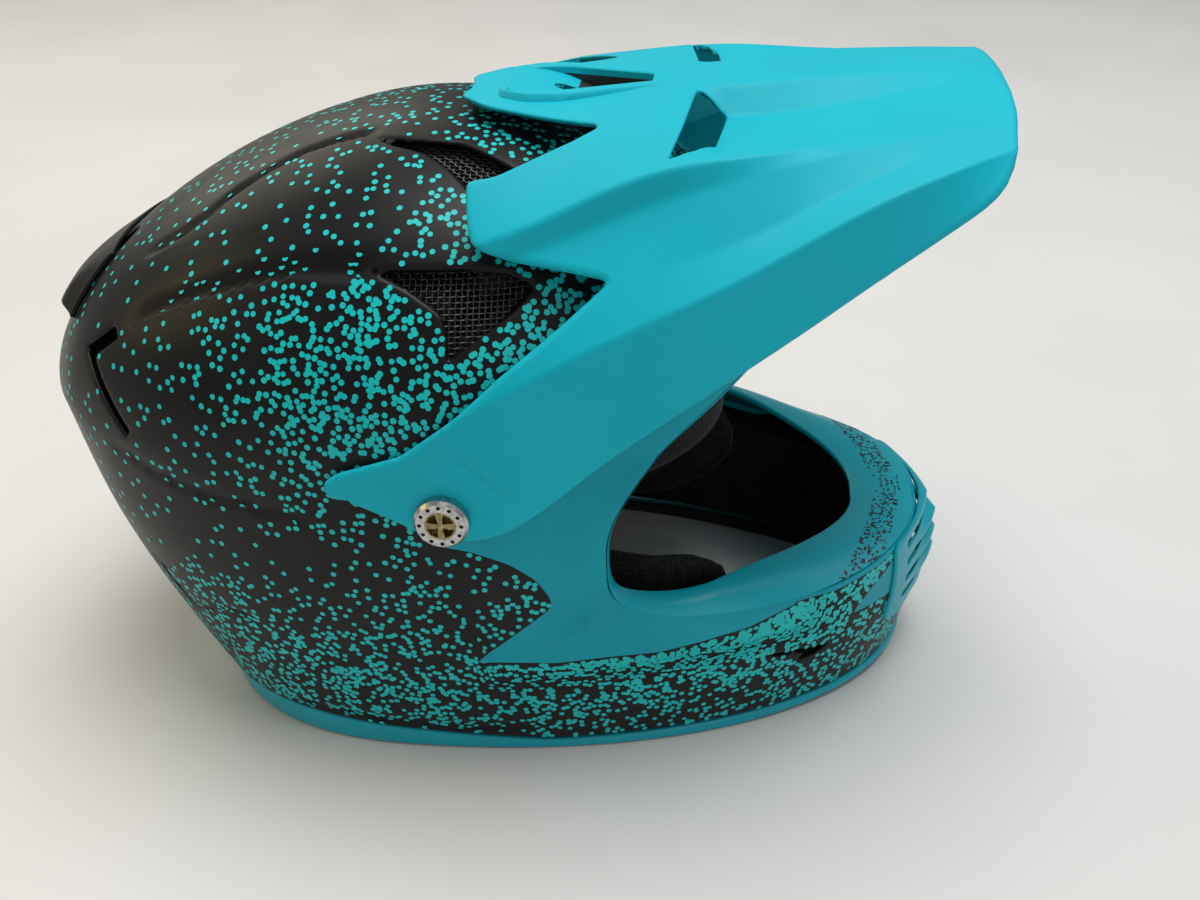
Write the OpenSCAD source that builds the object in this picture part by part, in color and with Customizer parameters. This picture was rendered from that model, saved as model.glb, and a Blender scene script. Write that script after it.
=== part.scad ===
// Full-face mountain bike helmet, standing on its edge moulding.
// Millimetres. Origin at the middle of the bounding box's underside, the face looks along -Y,
// the wearer's right side is at -X, and +Z is up.

/* [Shell outline] */
// Height of the crown above the table
shell_h = 256; // [250:1:262]
// Height at which the dome starts
brow_z = 150; // [146:1:154]
// Half width at the foot of the shell
base_half_w = 99; // [96:1:101]
// Half width at chin height
jaw_half_w = 110; // [107:1:111]
// Half width where the dome starts, the widest level
brow_half_w = 118; // [115:1:119]
// Reach of the chin bar in front of the origin
chin_reach = 191; // [186:1:194]
// Reach of the foot of the chin bar
foot_reach = 184; // [180:1:186]
// Reach of the brow in front of the origin
brow_reach = 130; // [127:1:132]
// Reach of the back at the foot
foot_back = 134; // [128:1:138]
// Reach of the back at chin height
jaw_back = 163; // [158:1:165]
// Reach of the back at brow height
brow_back = 190; // [186:1:193]
// Place of the crown's highest point behind the origin
crown_y = 16; // [12:1:20]
// Wall of the moulded shell
shell_wall = 2.8; // [2.4:0.1:3.4]

/* [Eye port] */
// Height of the port's lower corner at the side
port_side_z = 59; // [57:1:61]
// Height of the port's lower edge at the middle of the chin bar
port_front_z = 77; // [75:1:79]
// Height of the port's upper edge at the brow
port_top_z = 174; // [170:1:178]
// How far back the port reaches, measured in front of the origin
port_back = 57; // [54:1:60]
// How far the rolled rim leans in
rim_depth = 12; // [10:1:14]
// How far the rolled rim leans in at the middle of the chin bar
rim_depth_front = 28; // [26:1:30]
// How far the rolled rim rises as it leans in
rim_rise = 12; // [10:1:13]
// Thickness of the rolled rim
rim_wall = 3; // [2.5:0.1:3.6]

/* [Edge moulding] */
// Height of the moulding at the back, where the shell sits highest
trim_back_h = 13; // [11:0.5:15]
// Height of the moulding along the chin bar
trim_front_h = 4; // [3.5:0.5:6]
// Width of the moulding's foot
trim_w = 9; // [7:0.5:10]

/* [Liner] */
// Gap between the shell and the foam inside it
foam_gap = 0.4; // [0.3:0.1:0.6]
// Half width of the head space in the crown foam
head_half_w = 92; // [90:1:93]
// Length of the head space
head_len = 230; // [226:1:232]
// Thickness of the comfort liner
liner_t = 8; // [6:0.5:9]
// Thickness of the cheek foam against the shell
cheek_foam_t = 16; // [14:1:18]
// Thickness of a cheek pad
cheek_pad_t = 18; // [16:1:20]
// Slot between the cheek foam and the cheek pad, for the strap
strap_slot = 5; // [4.4:0.1:5.4]

/* [Visor] */
// Thickness of the visor sheet
visor_t = 2.6; // [2.3:0.1:3]
// Reach of the visor in front of the origin
visor_reach = 201; // [198:1:204]
// Place of the hinge axis in front of the origin, negative is in front
hinge_y = 1; // [-1:1:3]
// Height of the hinge axis
hinge_z = 136; // [134:1:138]
// Gap between the widest part of the shell and a visor arm
arm_gap = 0.9; // [0.8:0.1:1.4]
// Height of the clamp arc under the rear tab above the shell's face
arc_rise = 5.35; // [5.15:0.1:6.35]
// Angle of the centre screw in front of the vertical
centre_angle = 23.5; // [23:0.5:24]
// Half of the visor's travel, in degrees
visor_travel = 6.5; // [5:0.5:6.5]

/* [Screws] */
// Radius of a side screw's head
head_r = 10.2; // [9:0.2:11]
// Height of a side screw's head
head_h = 4.4; // [4:0.2:5]
// Radius of a side screw's shoulder
shoulder_r = 4; // [3.6:0.1:4.4]
// Radius of a side screw's shank
shank_r = 2.5; // [2.2:0.1:2.8]
// Running clearance round shoulders and shanks, radial
run_gap = 0.05; // [0.03:0.01:0.08]
// Radius of the centre screw's head
centre_head_r = 4.6; // [4.2:0.1:5]
// Radius of the centre screw's shank
centre_shank_r = 2; // [1.8:0.1:2.2]

/* [Chin strap] */
// Width of the webbing
web_w = 20; // [18:0.5:22]
// Thickness of the webbing
web_t = 1.8; // [1.5:0.1:2]
// Radius of the D-ring wire
wire_r = 1.4; // [1.2:0.1:1.5]
// Inside width of the inner D-ring
ring_w = 21.5; // [21:0.5:22]
// Inside width of the outer D-ring
outer_ring_w = 28; // [28:0.5:30]

/* [Hidden] */

turquoise = [0.02, 0.62, 0.68];
black = [0.08, 0.08, 0.09];
foam_grey = [0.2, 0.2, 0.21];
fabric_black = [0.05, 0.05, 0.05];
steel = [0.75, 0.76, 0.78];

// Levels of the lower body: foot, jaw, chin, rim, temple and brow
level_z = [0, 30, 60, 85, 110, brow_z];
level_front = [foot_reach, chin_reach - 1, chin_reach, chin_reach - 6, chin_reach - 21, brow_reach];
level_back = [foot_back, foot_back + 15, jaw_back, jaw_back + 10, jaw_back + 18, brow_back];
level_half = [base_half_w, base_half_w + 6, jaw_half_w, jaw_half_w + 4, jaw_half_w + 6.5, brow_half_w];
// Powers that set how full the dome is in front, behind and at the sides
front_power = 2.0;
back_power = 1.62;
side_power = 2.15;
below = 20;
around = 36;

function power_fall(t, p) = pow(max(0, 1 - pow(t, p)), 1 / p);
function dome_t(z) = min(1, max(0, (z - brow_z) / (shell_h - brow_z)));
function clamp01(t) = min(1, max(0, t));
// A height as drawn, moved with the brow and the top of the dome
drawn_jaw = 110;
drawn_brow = 150;
drawn_h = 256;
function high(z) = z < drawn_jaw ? z
  : z < drawn_brow ? drawn_jaw + (z - drawn_jaw) * (brow_z - drawn_jaw) / (drawn_brow - drawn_jaw)
  : brow_z + (z - drawn_brow) * (shell_h - brow_z) / (drawn_h - drawn_brow);
function raised(outline) = [for (p = outline) [p[0], high(p[1])]];
function ease(t) = let (c = clamp01(t)) c * c * (3 - 2 * c);
// One smooth piece of a curve through level values, with slopes from the neighbours
function slope(v, i) = let (a = max(0, i - 1), b = min(len(v) - 1, i + 1))
  (v[b] - v[a]) / (level_z[b] - level_z[a]);
function piece(z) = len([for (i = [1 : len(level_z) - 2]) if (z >= level_z[i]) i]);
function through(v, z) = let (c = max(0, min(brow_z, z)), i = piece(c),
    h = level_z[i + 1] - level_z[i], t = (c - level_z[i]) / h)
  (2*t*t*t - 3*t*t + 1) * v[i] + (t*t*t - 2*t*t + t) * h * slope(v, i)
  + (3*t*t - 2*t*t*t) * v[i + 1] + (t*t*t - t*t) * h * slope(v, i + 1);
// Reach to the front, reach to the back and half width of the shell at height z
function front_at(z) = z <= brow_z ? through(level_front, z)
  : (brow_reach + crown_y) * power_fall(dome_t(z), front_power) - crown_y;
function back_at(z) = z <= brow_z ? through(level_back, z)
  : (brow_back - crown_y) * power_fall(dome_t(z), back_power) + crown_y;
function half_at(z) = z <= brow_z ? through(level_half, z)
  : brow_half_w * power_fall(dome_t(z), side_power);
// Roundness of the plan outline
function front_round(z) = 2.05 + 0.2 * clamp01(z / brow_z);
function back_round(z) = 2.6 - 0.35 * clamp01(z / brow_z);
// A point of the form, drawn in by d, at height z and angle a from straight ahead
function form_point(z, a, d) = let (c = cos(a), s = sin(a),
    n = c > 0 ? front_round(z) : back_round(z),
    zz = dome_t(z) > 0 ? brow_z + (z - brow_z) * (shell_h - d - brow_z) / (shell_h - brow_z) : z,
    reach = c > 0 ? -(front_at(z) + crown_y - d) : back_at(z) - crown_y - d)
  [sign(s) * (half_at(z) - d) * pow(abs(s), 2 / n), crown_y + reach * pow(abs(c), 2 / n), zz];
// Half width of the form at a place y and height z, and the height of the crown over x and y
function half_here(y, z, d = 0) = let (front = y < crown_y,
    reach = max(0.01, front ? front_at(z) + crown_y - d : back_at(z) - crown_y - d),
    n = front ? front_round(z) : back_round(z))
  (half_at(z) - d) * pow(max(0, 1 - pow(min(1, abs(y - crown_y) / reach), n)), 1 / n);
function level_of(z, d) = z < brow_z ? z
  : brow_z + (z - brow_z) * (shell_h - brow_z) / (shell_h - d - brow_z);
function side_here(y, z, d) = half_here(y, level_of(z, d), d);
function top_here(x, y, d, lo = brow_z, hi = shell_h, i = 14) = i == 0 ? lo
  : let (m = (lo + hi) / 2) side_here(y, m, d) > abs(x) ? top_here(x, y, d, m, hi, i - 1)
  : top_here(x, y, d, lo, m, i - 1);

dome_steps = 7;
form_levels = concat([-below, 0, 18, 36, 54, 70, 85, 101, 118, 135, brow_z],
  [for (i = [1 : dome_steps]) brow_z + (shell_h - brow_z) * pow(sin(i * 84 / dome_steps), 0.93)]);

// The smooth body of the helmet, drawn in by d all round
module form(d) {
  rings = len(form_levels);
  points = concat([for (z = form_levels) for (k = [0 : around - 1]) form_point(z, k * 360 / around, d)],
    [[0, crown_y, shell_h - d]]);
  faces = concat([[for (k = [0 : around - 1]) k]],
    [for (r = [0 : rings - 2]) for (k = [0 : around - 1]) let (n = (k + 1) % around, q = r * around)
      each [[q + k, q + around + k, q + n], [q + n, q + around + k, q + around + n]]],
    [for (k = [0 : around - 1]) let (n = (k + 1) % around, q = (rings - 1) * around)
      [q + k, rings * around, q + n]]);
  polyhedron(points, faces);
}

// A slab through the whole helmet, from an outline of [y, z] points seen from the side
module side_slab(outline, x0 = -200, x1 = 200) {
  translate([x0, 0, 0]) rotate([90, 0, 90]) linear_extrude(x1 - x0) polygon(outline);
}
module both_sides() {
  children();
  mirror([1, 0, 0]) children();
}

// Lower edge of the shell and of the moulding below it
shell_edge = [[-210, 6 + trim_front_h], [-150, 2 + trim_front_h], [-28, trim_front_h],
  [20, 0.5 * (trim_front_h + trim_back_h)], [76, trim_back_h], [220, trim_back_h + 2]];
foot_edge = [[-210, 7], [-160, 2.5], [-110, 0], [100, 0], [160, 3], [220, 5]];
far_y = 240;
far_below = -60;
module under(edge, lower = 0) {
  ends = [edge[0][1] - lower, edge[len(edge) - 1][1] - lower];
  side_slab(concat([[-far_y, far_below], [-far_y, ends[0]]], [for (p = edge) [p[0], p[1] - lower]],
    [[far_y, ends[1]], [far_y, far_below]]));
}

// Eye port
port_n = 36;
port_mid_z = (port_side_z + port_top_z) / 2;
// Place i of the port's outline on the shell, as [height, angle from straight ahead], grown by grow
function port_place(i, grow) = let (a = i * 360 / port_n, c = cos(a), s = sin(a),
    side = sign(c) * pow(abs(c), 0.62), up = sign(s) * pow(abs(s), 0.62),
    low = port_front_z + (port_side_z - port_front_z) * pow(abs(side), 1.5),
    high = port_top_z - 20 * pow(abs(side), 3),
    z = (high + low) / 2 + up * ((high - low) / 2 + grow),
    back_c = (port_back + crown_y - grow) / (front_at(z) + crown_y),
    span = acos(pow(min(0.99, max(0.05, back_c)), front_round(z) / 2)))
  [z, side * span];
function port_point(i, d, grow) = let (q = port_place(i, grow)) form_point(q[0], q[1], d);
// A solid between two rings round the port, closed by a tip in front and one behind
module ring_plug(outer, inner) {
  points = concat(outer, inner, [[0, -290, port_mid_z], [0, -20, port_mid_z]]);
  faces = concat(
    [for (i = [0 : port_n - 1]) let (n = (i + 1) % port_n)
      each [[i, n, port_n + i], [n, port_n + n, port_n + i], [i, 2 * port_n, n],
        [port_n + i, port_n + n, 2 * port_n + 1]]]);
  polyhedron(points, faces);
}
function pushed(p, k) = [p[0] * k, crown_y + (p[1] - crown_y) * k, p[2]];
module port_plug(d, grow) ring_plug(
  [for (i = [0 : port_n - 1]) pushed(port_point(i, 0, grow), 1.3)],
  [for (i = [0 : port_n - 1]) pushed(port_point(i, d, grow), 0.55)]);
// Lean of the rim at place i of the outline, as [depth, rise]: deepest at the middle of the chin bar,
// and least round the port's back corners
rim_back_share = 0.5;
tuck_gap = 1.3;
rim_seam = 0.8;
function rim_here(i) = let (a = i * 360 / port_n, low = max(0, -sin(a)), front = clamp01((low - 0.7) / 0.3),
    side = clamp01(low / 0.7), back = ease((abs(cos(a)) - 0.5) / 0.35))
  [rim_depth * (0.5 + 0.5 * side) + (rim_depth_front - rim_depth) * front,
   rim_rise * (0.35 + 0.65 * side - 0.5 * front) * mix(1, rim_back_share, back)];
// The way the shell faces at place i, and the way across its face out of the port
function unit(v) = v / norm(v);
function port_facing(i) = let (q = port_place(i, 0),
    round_it = form_point(q[0], q[1] + 1, 0) - form_point(q[0], q[1] - 1, 0),
    up_it = form_point(q[0] + 1, q[1], 0) - form_point(q[0] - 1, q[1], 0)) unit(cross(round_it, up_it));
function port_away(i) = unit(cross(port_point(i + 1, 0, 0) - port_point(i - 1, 0, 0), port_facing(i)));
function rim_at(i, depth, grow) = port_point(i, 0, 0) - depth * port_facing(i) + grow * port_away(i);
module port_opening() ring_plug([for (i = [0 : port_n - 1]) rim_at(i, -20, 0)],
  [for (i = [0 : port_n - 1]) rim_at(i, shell_wall + 6, 0)]);
// One corner of the rim's section: depth and rise as shares of the lean, and a step off the face
function rim_point(i, share, rise_share, off) = let (lean = rim_here(i), l = norm(lean))
  rim_at(i, share * lean[0] + off * lean[1] / l, -rise_share * lean[1] + off * lean[0] / l);
module port_trim() {
  color(turquoise) {
    tuck = shell_wall + tuck_gap;
    around_port = [0 : port_n - 1];
    rows = [
      [for (i = around_port) rim_at(i, 0.3, -rim_seam)],
      [for (i = around_port) rim_point(i, 0.4, 0.75, 0)],
      [for (i = around_port) rim_point(i, 1, 1, 0)],
      [for (i = around_port) rim_point(i, 1, 1, rim_wall)],
      [for (i = around_port) rim_at(i, tuck + rim_wall, rim_wall)],
      [for (i = around_port) rim_at(i, tuck, rim_wall)],
      [for (i = around_port) rim_at(i, tuck, -rim_seam)]];
    closed_tube(rows);
  }
}
// A closed tube: rings of points, the last ring joined to the first
module closed_tube(rows) {
  n = len(rows[0]);
  m = len(rows);
  faces = [for (j = [0 : m - 1]) for (i = [0 : n - 1]) let (e = (i + 1) % n, k = (j + 1) % m)
    each [[j * n + i, k * n + i, j * n + e], [j * n + e, k * n + i, k * n + e]]];
  polyhedron([for (r = rows) each r], faces);
}
// A bar: closed rings of points one after the other, with both ends closed
module bar_of(rows) {
  n = len(rows[0]);
  m = len(rows);
  last = m * n - 1;
  faces = concat([for (i = [1 : n - 2]) [0, i, i + 1]],
    [for (i = [1 : n - 2]) [last, last - i, last - 1 - i]],
    [for (j = [0 : m - 2]) for (i = [0 : n - 1]) let (e = (i + 1) % n)
      each [[j * n + i, j * n + n + i, j * n + e], [j * n + e, j * n + n + i, j * n + n + e]]]);
  polyhedron([for (r = rows) each r], faces);
}
// A closed sheet between two grids of points
module sheet(front, back) {
  rows = len(front);
  cols = len(front[0]);
  size = rows * cols;
  function at(r, c) = r * cols + c;
  faces = concat(
    [for (r = [0 : rows - 2]) for (c = [0 : cols - 2]) each [[at(r, c), at(r + 1, c), at(r, c + 1)],
      [at(r, c + 1), at(r + 1, c), at(r + 1, c + 1)]]],
    [for (r = [0 : rows - 2]) for (c = [0 : cols - 2]) each [
      [size + at(r, c), size + at(r, c + 1), size + at(r + 1, c)],
      [size + at(r, c + 1), size + at(r + 1, c + 1), size + at(r + 1, c)]]],
    [for (r = [0 : rows - 2]) each [[at(r, 0), size + at(r, 0), at(r + 1, 0)],
      [at(r + 1, 0), size + at(r, 0), size + at(r + 1, 0)],
      [at(r, cols - 1), at(r + 1, cols - 1), size + at(r, cols - 1)],
      [at(r + 1, cols - 1), size + at(r + 1, cols - 1), size + at(r, cols - 1)]]],
    [for (c = [0 : cols - 2]) each [[at(0, c), at(0, c + 1), size + at(0, c)],
      [at(0, c + 1), size + at(0, c + 1), size + at(0, c)],
      [at(rows - 1, c), size + at(rows - 1, c), at(rows - 1, c + 1)],
      [at(rows - 1, c + 1), size + at(rows - 1, c), size + at(rows - 1, c + 1)]]]);
  polyhedron([for (g = [front, back]) for (r = g) each r], faces);
}
function mix(a, b, t) = a + (b - a) * t;
// A point of a four-sided patch, u along its first side and v across
function patch(q, u, v) = mix(mix(q[0], q[1], u), mix(q[3], q[2], u), v);

// Distance from a point inside the form to its surface, angle measured from straight up to the front
function is_inside(x, y, z) = z < shell_h && half_here(y, z) > abs(x);
function reach_out(x, y, z, angle, lo = 0, hi = 260, i = 18) = i == 0 ? lo
  : let (m = (lo + hi) / 2) is_inside(x, y - m * sin(angle), z + m * cos(angle))
  ? reach_out(x, y, z, angle, m, hi, i - 1) : reach_out(x, y, z, angle, lo, m, i - 1);

// Vents, as outlines on one side: the top vent from above as [x, y], the others from the side as [y, z]
top_vent = [[37, 31], [40, 12], [41, -2], [48, -16], [58, -34], [72, -30], [68, -11], [62, -6], [54, 2],
  [47, 11], [42, 24]];
side_vent = raised([[24, 221], [-9, 221], [-24, 219], [-34, 215], [-28, 209], [-15, 201], [-4, 194],
  [-4, 201], [-2, 208], [2, 211], [11, 216]]);
rear_vent = raised([[129, 195], [147, 181], [128, 154], [125, 158], [137, 178], [133, 184], [122, 190]]);
vent_low = 60;
module top_vents(grow = 0) both_sides() translate([0, 0, brow_z])
  linear_extrude(shell_h) offset(delta = grow) polygon(top_vent);
module side_prisms(outline, grow = 0) both_sides() translate([vent_low, 0, 0]) rotate([90, 0, 90])
  linear_extrude(100) offset(delta = grow) polygon(outline);

// Chin bar: the mouth opening, its grille, and a slit low on each side
mouth_half_w = 40;
mouth_low = 38;
mouth_high = 70;
ribs = 4;
rib_pitch = (mouth_high - mouth_low + 4) / ribs;
frame_edge = 6;
grille_gap = 0.3;
slit_r = 2.6;
chin_slit = [[-123, 41], [-138, 41], [-145, 37.5]];
module mouth_block(half_w, low, high) translate([-half_w, -240, low]) cube([2 * half_w, 120, high - low]);
module chin_slits() both_sides() for (i = [0 : 1]) hull() for (k = [0, 1])
  translate([45, chin_slit[i + k][0], chin_slit[i + k][1]]) rotate([0, 90, 0])
    cylinder(h = 80, r = slit_r, $fn = 12);

// Rear exhaust: a raised hood over two slots, from angle hood_from to hood_to behind the vertical
hood_from = 60;
hood_to = 77;
hood_rise = 6;
hood_roof = 2.4;
function hood_point(u, v, d) = let (angle = -mix(hood_from, hood_to, u), x = v * mix(34, 48, u),
    lift = hood_rise * ease(u * 1.25) * ease((1 - abs(v)) * 4),
    r = reach_out(x, crown_y, brow_z, angle) + lift - d)
  [x, crown_y - r * sin(angle), brow_z + r * cos(angle)];
module rear_hood() {
  function grid(d) = [for (i = [0 : 7]) [for (v = [-1, -0.86, -0.7, -0.35, 0, 0.35, 0.7, 0.86, 1])
    hood_point(i / 7, v, d)]];
  sheet(grid(0.05), grid(hood_roof));
}
slot_r = 7;
slot_x = 24;
slot_ends = [brow_back - 48, brow_back - 34];
module exhaust_slots() both_sides() hull() for (y = slot_ends) translate([slot_x, y, brow_z])
  cylinder(h = 100, r = slot_r, $fn = 12);

// Hinge line of the visor, and the line of the centre screw
module on_hinge(side) translate([0, hinge_y, hinge_z]) rotate([0, side * 90, 0]) children();
module on_centre(angle = centre_angle) translate([0, hinge_y, hinge_z]) rotate([angle, 0, 0]) children();
shell_x = half_here(hinge_y, hinge_z);
shell_r = reach_out(0, hinge_y, hinge_z, centre_angle);
arc_r = shell_r + arc_rise;
barrel_r = 5;
hole_gap = 0.4;
flange_r = 9;
flange_t = 1.6;
flange_drop = 1.4;
// Round holes on the three screw lines, from a depth below the shell's face to just outside it
module screw_holes(r, depth) {
  for (side = [-1, 1]) on_hinge(side) hull() for (h = [shell_x - depth, shell_x + 7])
    translate([0, 0, h]) cylinder(h = 0.1, r = r, $fn = 24);
  on_centre() hull() for (h = [shell_r - depth, shell_r + 12])
    translate([0, 0, h]) cylinder(h = 0.1, r = r, $fn = 24);
}

module outer_shell() {
  color(black) {
    difference() {
      union() {
        difference() {
          form(0);
          exhaust_slots();
        }
        rear_hood();
      }
      form(shell_wall);
      port_opening();
      under(shell_edge);
      top_vents();
      side_prisms(side_vent);
      side_prisms(rear_vent);
      chin_slits();
      mouth_block(mouth_half_w, mouth_low, mouth_high);
      screw_holes(barrel_r + hole_gap, 20);
    }
  }
}

// Edge moulding round the neck opening, flared at its foot
trim_flare = 2;
trim_gap = 0.6;
function trim_point(a, d, edge, lower) = let (y = form_point(6, a, d)[1], z = lookup(y, edge) - lower)
  form_point(z, a, d);
module base_trim() {
  color(turquoise) {
    corners = [[-trim_flare, foot_edge, 0], [0.6, shell_edge, trim_gap],
      [trim_w * 0.7, shell_edge, trim_gap],
      [trim_w, foot_edge, 0]];
    closed_tube([for (r = corners) [for (k = [0 : around - 1])
      trim_point(k * 360 / around, r[0], r[1], r[2])]]);
  }
}

module mouth_grille() {
  color(turquoise) {
    difference() {
      union() {
        intersection() {
          form(-2.4);
          mouth_block(mouth_half_w + frame_edge, mouth_low - frame_edge, mouth_high + frame_edge - 1);
        }
        for (i = [0 : ribs]) intersection() {
          form(i == 0 || i == ribs ? -4.5 : -7);
          hull() for (s = [-1, 1]) translate([s * (mouth_half_w - 2), -150, mouth_low - 2 + i * rib_pitch])
            rotate([90, 0, 0]) cylinder(h = 80, r = 2.3, $fn = 10);
        }
      }
      form(-grille_gap);
      for (i = [0 : ribs - 1]) hull() for (s = [-1, 1])
        translate([s * (mouth_half_w - 5), -120, mouth_low - 2 + (i + 0.5) * rib_pitch])
          rotate([90, 0, 0]) cylinder(h = 120, r = 2, $fn = 8);
    }
  }
}

// Woven screens behind the vents
screen_t = 1;
screen_gap = 0.8;
screen_cells = 6;
top_patch = [[31, 35], [37, -38], [74.5, -34.5], [52, 32]];
side_patch = raised([[27, 222.5], [-40, 220.5], [-8, 188], [5, 191]]);
screen_lift = shell_wall + screen_gap + 0.9;
module top_screen() {
  n = screen_cells;
  function grid(d) = [for (i = [0 : n]) [for (j = [0 : n]) let (p = patch(top_patch, i / n, j / n))
    [p[0], p[1], top_here(p[0], p[1], d)]]];
  color(black) sheet(grid(screen_lift + screen_t), grid(screen_lift));
}
module side_screen() {
  n = screen_cells;
  function grid(d) = [for (i = [0 : n]) [for (j = [0 : n]) let (p = patch(side_patch, i / n, j / n))
    [side_here(p[0], p[1], d), p[0], p[1]]]];
  color(black) sheet(grid(screen_lift + screen_t), grid(screen_lift));
}
module mouth_screen() {
  n = 12;
  w = mouth_half_w + 3;
  lift = shell_wall + screen_gap;
  function on_front(x, z, d) = let (reach = front_at(z) + crown_y - d, e = front_round(z))
    [x, crown_y - reach * pow(1 - pow(abs(x) / (half_at(z) - d), e), 1 / e), z];
  function grid(d) = [for (i = [0 : n]) [for (j = [0 : 3])
    on_front(mix(-w, w, i / n), mix(mouth_low - 3, mouth_high + 1, j / 3), d)]];
  color(black) sheet(grid(lift + screen_t), grid(lift));
}

// Chin strap anchors: a plate on a post from the shell's inner face
strap_y = -10;
anchor_z = 99;
anchor_x = 92.2;
anchor_r = 3.6;

// Foam inside the shell, with the head space in it
head_y = 14;
head_z = 125;
head_top = high(225);
foam_split = 94;
split_back = 48;
foam_split_gap = 1;
rear_low = 66;
cap_n = 32;
// A point of the head space, from angle a round the head and rise e above the widest level
function head_point(a, e, d) = [(head_half_w - d) * sin(a) * cos(e),
  head_y - (head_len / 2 - d) * cos(a) * cos(e), head_z + (head_top - head_z - d) * sin(e)];
head_rises = [0, 10, 20, 30, 40, 50, 60, 70, 81];
module head_space() {
  n = cap_n;
  ring = [for (k = [0 : n - 1]) k * 360 / n];
  bar_of(concat([[for (a = ring) [head_half_w * sin(a), head_y - head_len / 2 * cos(a), 0]]],
    [for (e = head_rises) [for (a = ring) head_point(a, e, 0)]]));
}
slot_channel = [[slot_x, slot_ends[0] + 10, high(214)], [slot_x, slot_ends[0], high(214)],
  [slot_x, slot_ends[0] - 46, high(186)]];
pocket_gap = 0.6;
plug_gap = 5;
insert_pocket = 15;
centre_pocket = 9;
anchor_pocket = 3.8;
module crown_foam() {
  color(foam_grey) {
    difference() {
      form(shell_wall + foam_gap);
      head_space();
      port_plug(60, rim_wall + plug_gap);
      side_slab([[-240, -60], [-240, foam_split], [split_back, foam_split], [split_back + 30, rear_low],
        [240, rear_low], [240, -60]]);
      difference() {
        both_sides() translate([0, 0, brow_z]) linear_extrude(shell_h) offset(delta = 1) polygon(top_patch);
        form(screen_lift + screen_t + pocket_gap);
      }
      difference() {
        side_prisms(side_patch, 1);
        form(screen_lift + screen_t + pocket_gap);
      }
      top_vents(-2);
      side_prisms(side_vent, -1.5);
      side_prisms(rear_vent);
      both_sides() hull() for (p = slot_channel) translate(p) sphere(r = slot_r, $fn = 8);
      both_sides() on_hinge(1) hull() for (h = [-insert_pocket, 20]) translate([0, 0, shell_x + h])
        cylinder(h = 1, r = flange_r + 1, $fn = 16);
      on_centre() hull() for (h = [-centre_pocket, 20]) translate([0, 0, shell_r + h])
        cylinder(h = 1, r = flange_r + 1, $fn = 16);
      both_sides() translate([80, strap_y - web_w / 2 - 1, 60])
        cube([anchor_x + anchor_pocket - 80, web_w + 2, anchor_z - 48]);
      both_sides() hull() for (h = [-2, 28]) translate([anchor_x + h, strap_y, anchor_z])
        rotate([0, 90, 0]) cylinder(h = 1, r = anchor_r + 0.4, $fn = 24);
    }
  }
}
module chin_foam() {
  color(foam_grey) {
    difference() {
      form(shell_wall + foam_gap);
      form(cheek_foam_t + shell_wall);
      port_plug(60, rim_wall + plug_gap);
      translate([-200, -300, -40]) cube([400, 600, 40 + trim_back_h + 1.5]);
      translate([-200, -300, foam_split - foam_split_gap]) cube([400, 600, 200]);
      translate([-200, split_back - 4, 0]) cube([400, 300, 200]);
      difference() {
        mouth_block(mouth_half_w + 4, mouth_low - 4, mouth_high + 2);
        form(shell_wall + screen_gap + screen_t + pocket_gap);
      }
      mouth_block(mouth_half_w - 2, mouth_low, mouth_high - 2);
      chin_slits();
      both_sides() for (y = [-60, -20]) hull() for (z = [34, 62])
        translate([60, y, z]) rotate([0, 90, 0]) cylinder(h = 26, r = 6, $fn = 16);
    }
  }
}

// Comfort liner: padded quilts round the head space, with channels drawn in between them
liner_gap = 0.5;
function quilt(a, e) = let (u = abs(sin(a * 4.5)), v = abs(sin(e * 4.5)), edge = clamp01((e + 2) / 10))
  edge * (0.45 + 0.55 * min(1, 1.9 * u) * min(1, 1.9 * v));
module comfort_liner() {
  n = cap_n;
  rises = concat([-3], head_rises);
  ring = [for (k = [0 : n - 1]) k * 360 / n];
  outer = [for (e = rises) [for (a = ring) head_point(a, e, liner_gap)]];
  inner = [for (i = [len(rises) - 1 : -1 : 0]) [for (a = ring)
    head_point(a, rises[i], liner_gap + 0.8 + (liner_t - 0.8) * quilt(a, rises[i]))]];
  color(fabric_black) closed_tube(concat(outer, inner));
}

// Soft roll inside the back of the shell, from roll_from round to the same angle on the other side
roll_from = 122;
roll_z = 38;
roll_depth = 11.8;
roll_thick = 11;
roll_tall = 20;
roll_steps = 30;
roll_sides = 16;
roll_quilts = 5;
function swell(v) = sign(v) * pow(abs(v), 0.75);
function roll_share(i) = (0.86 + 0.14 * abs(sin(i * 180 * roll_quilts / roll_steps)))
  * min(1, 0.35 + 0.65 * sin(min(90, min(i, roll_steps - i) * 36)));
function roll_ring(a, share) = [for (t = [0 : roll_sides - 1]) let (w = t * 360 / roll_sides)
  form_point(roll_z + roll_tall * share * swell(sin(w)), a,
    shell_wall + roll_depth + roll_thick * share * swell(cos(w)))];
module neck_roll() {
  color(fabric_black) bar_of([for (i = [0 : roll_steps])
    roll_ring(mix(roll_from, 360 - roll_from, i / roll_steps), roll_share(i))]);
}

// Cheek pads: crowned cushions with drawn-in sides, from an outline [y, z] seen from the side
pad_outline = [[-108, 66], [-96, 84], [-60, 90], [-20, 90], [18, 86], [34, 66], [32, 36], [16, 24],
  [-24, 22],
  [-66, 24], [-92, 36], [-106, 52]];
pad_n = 32;
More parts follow.
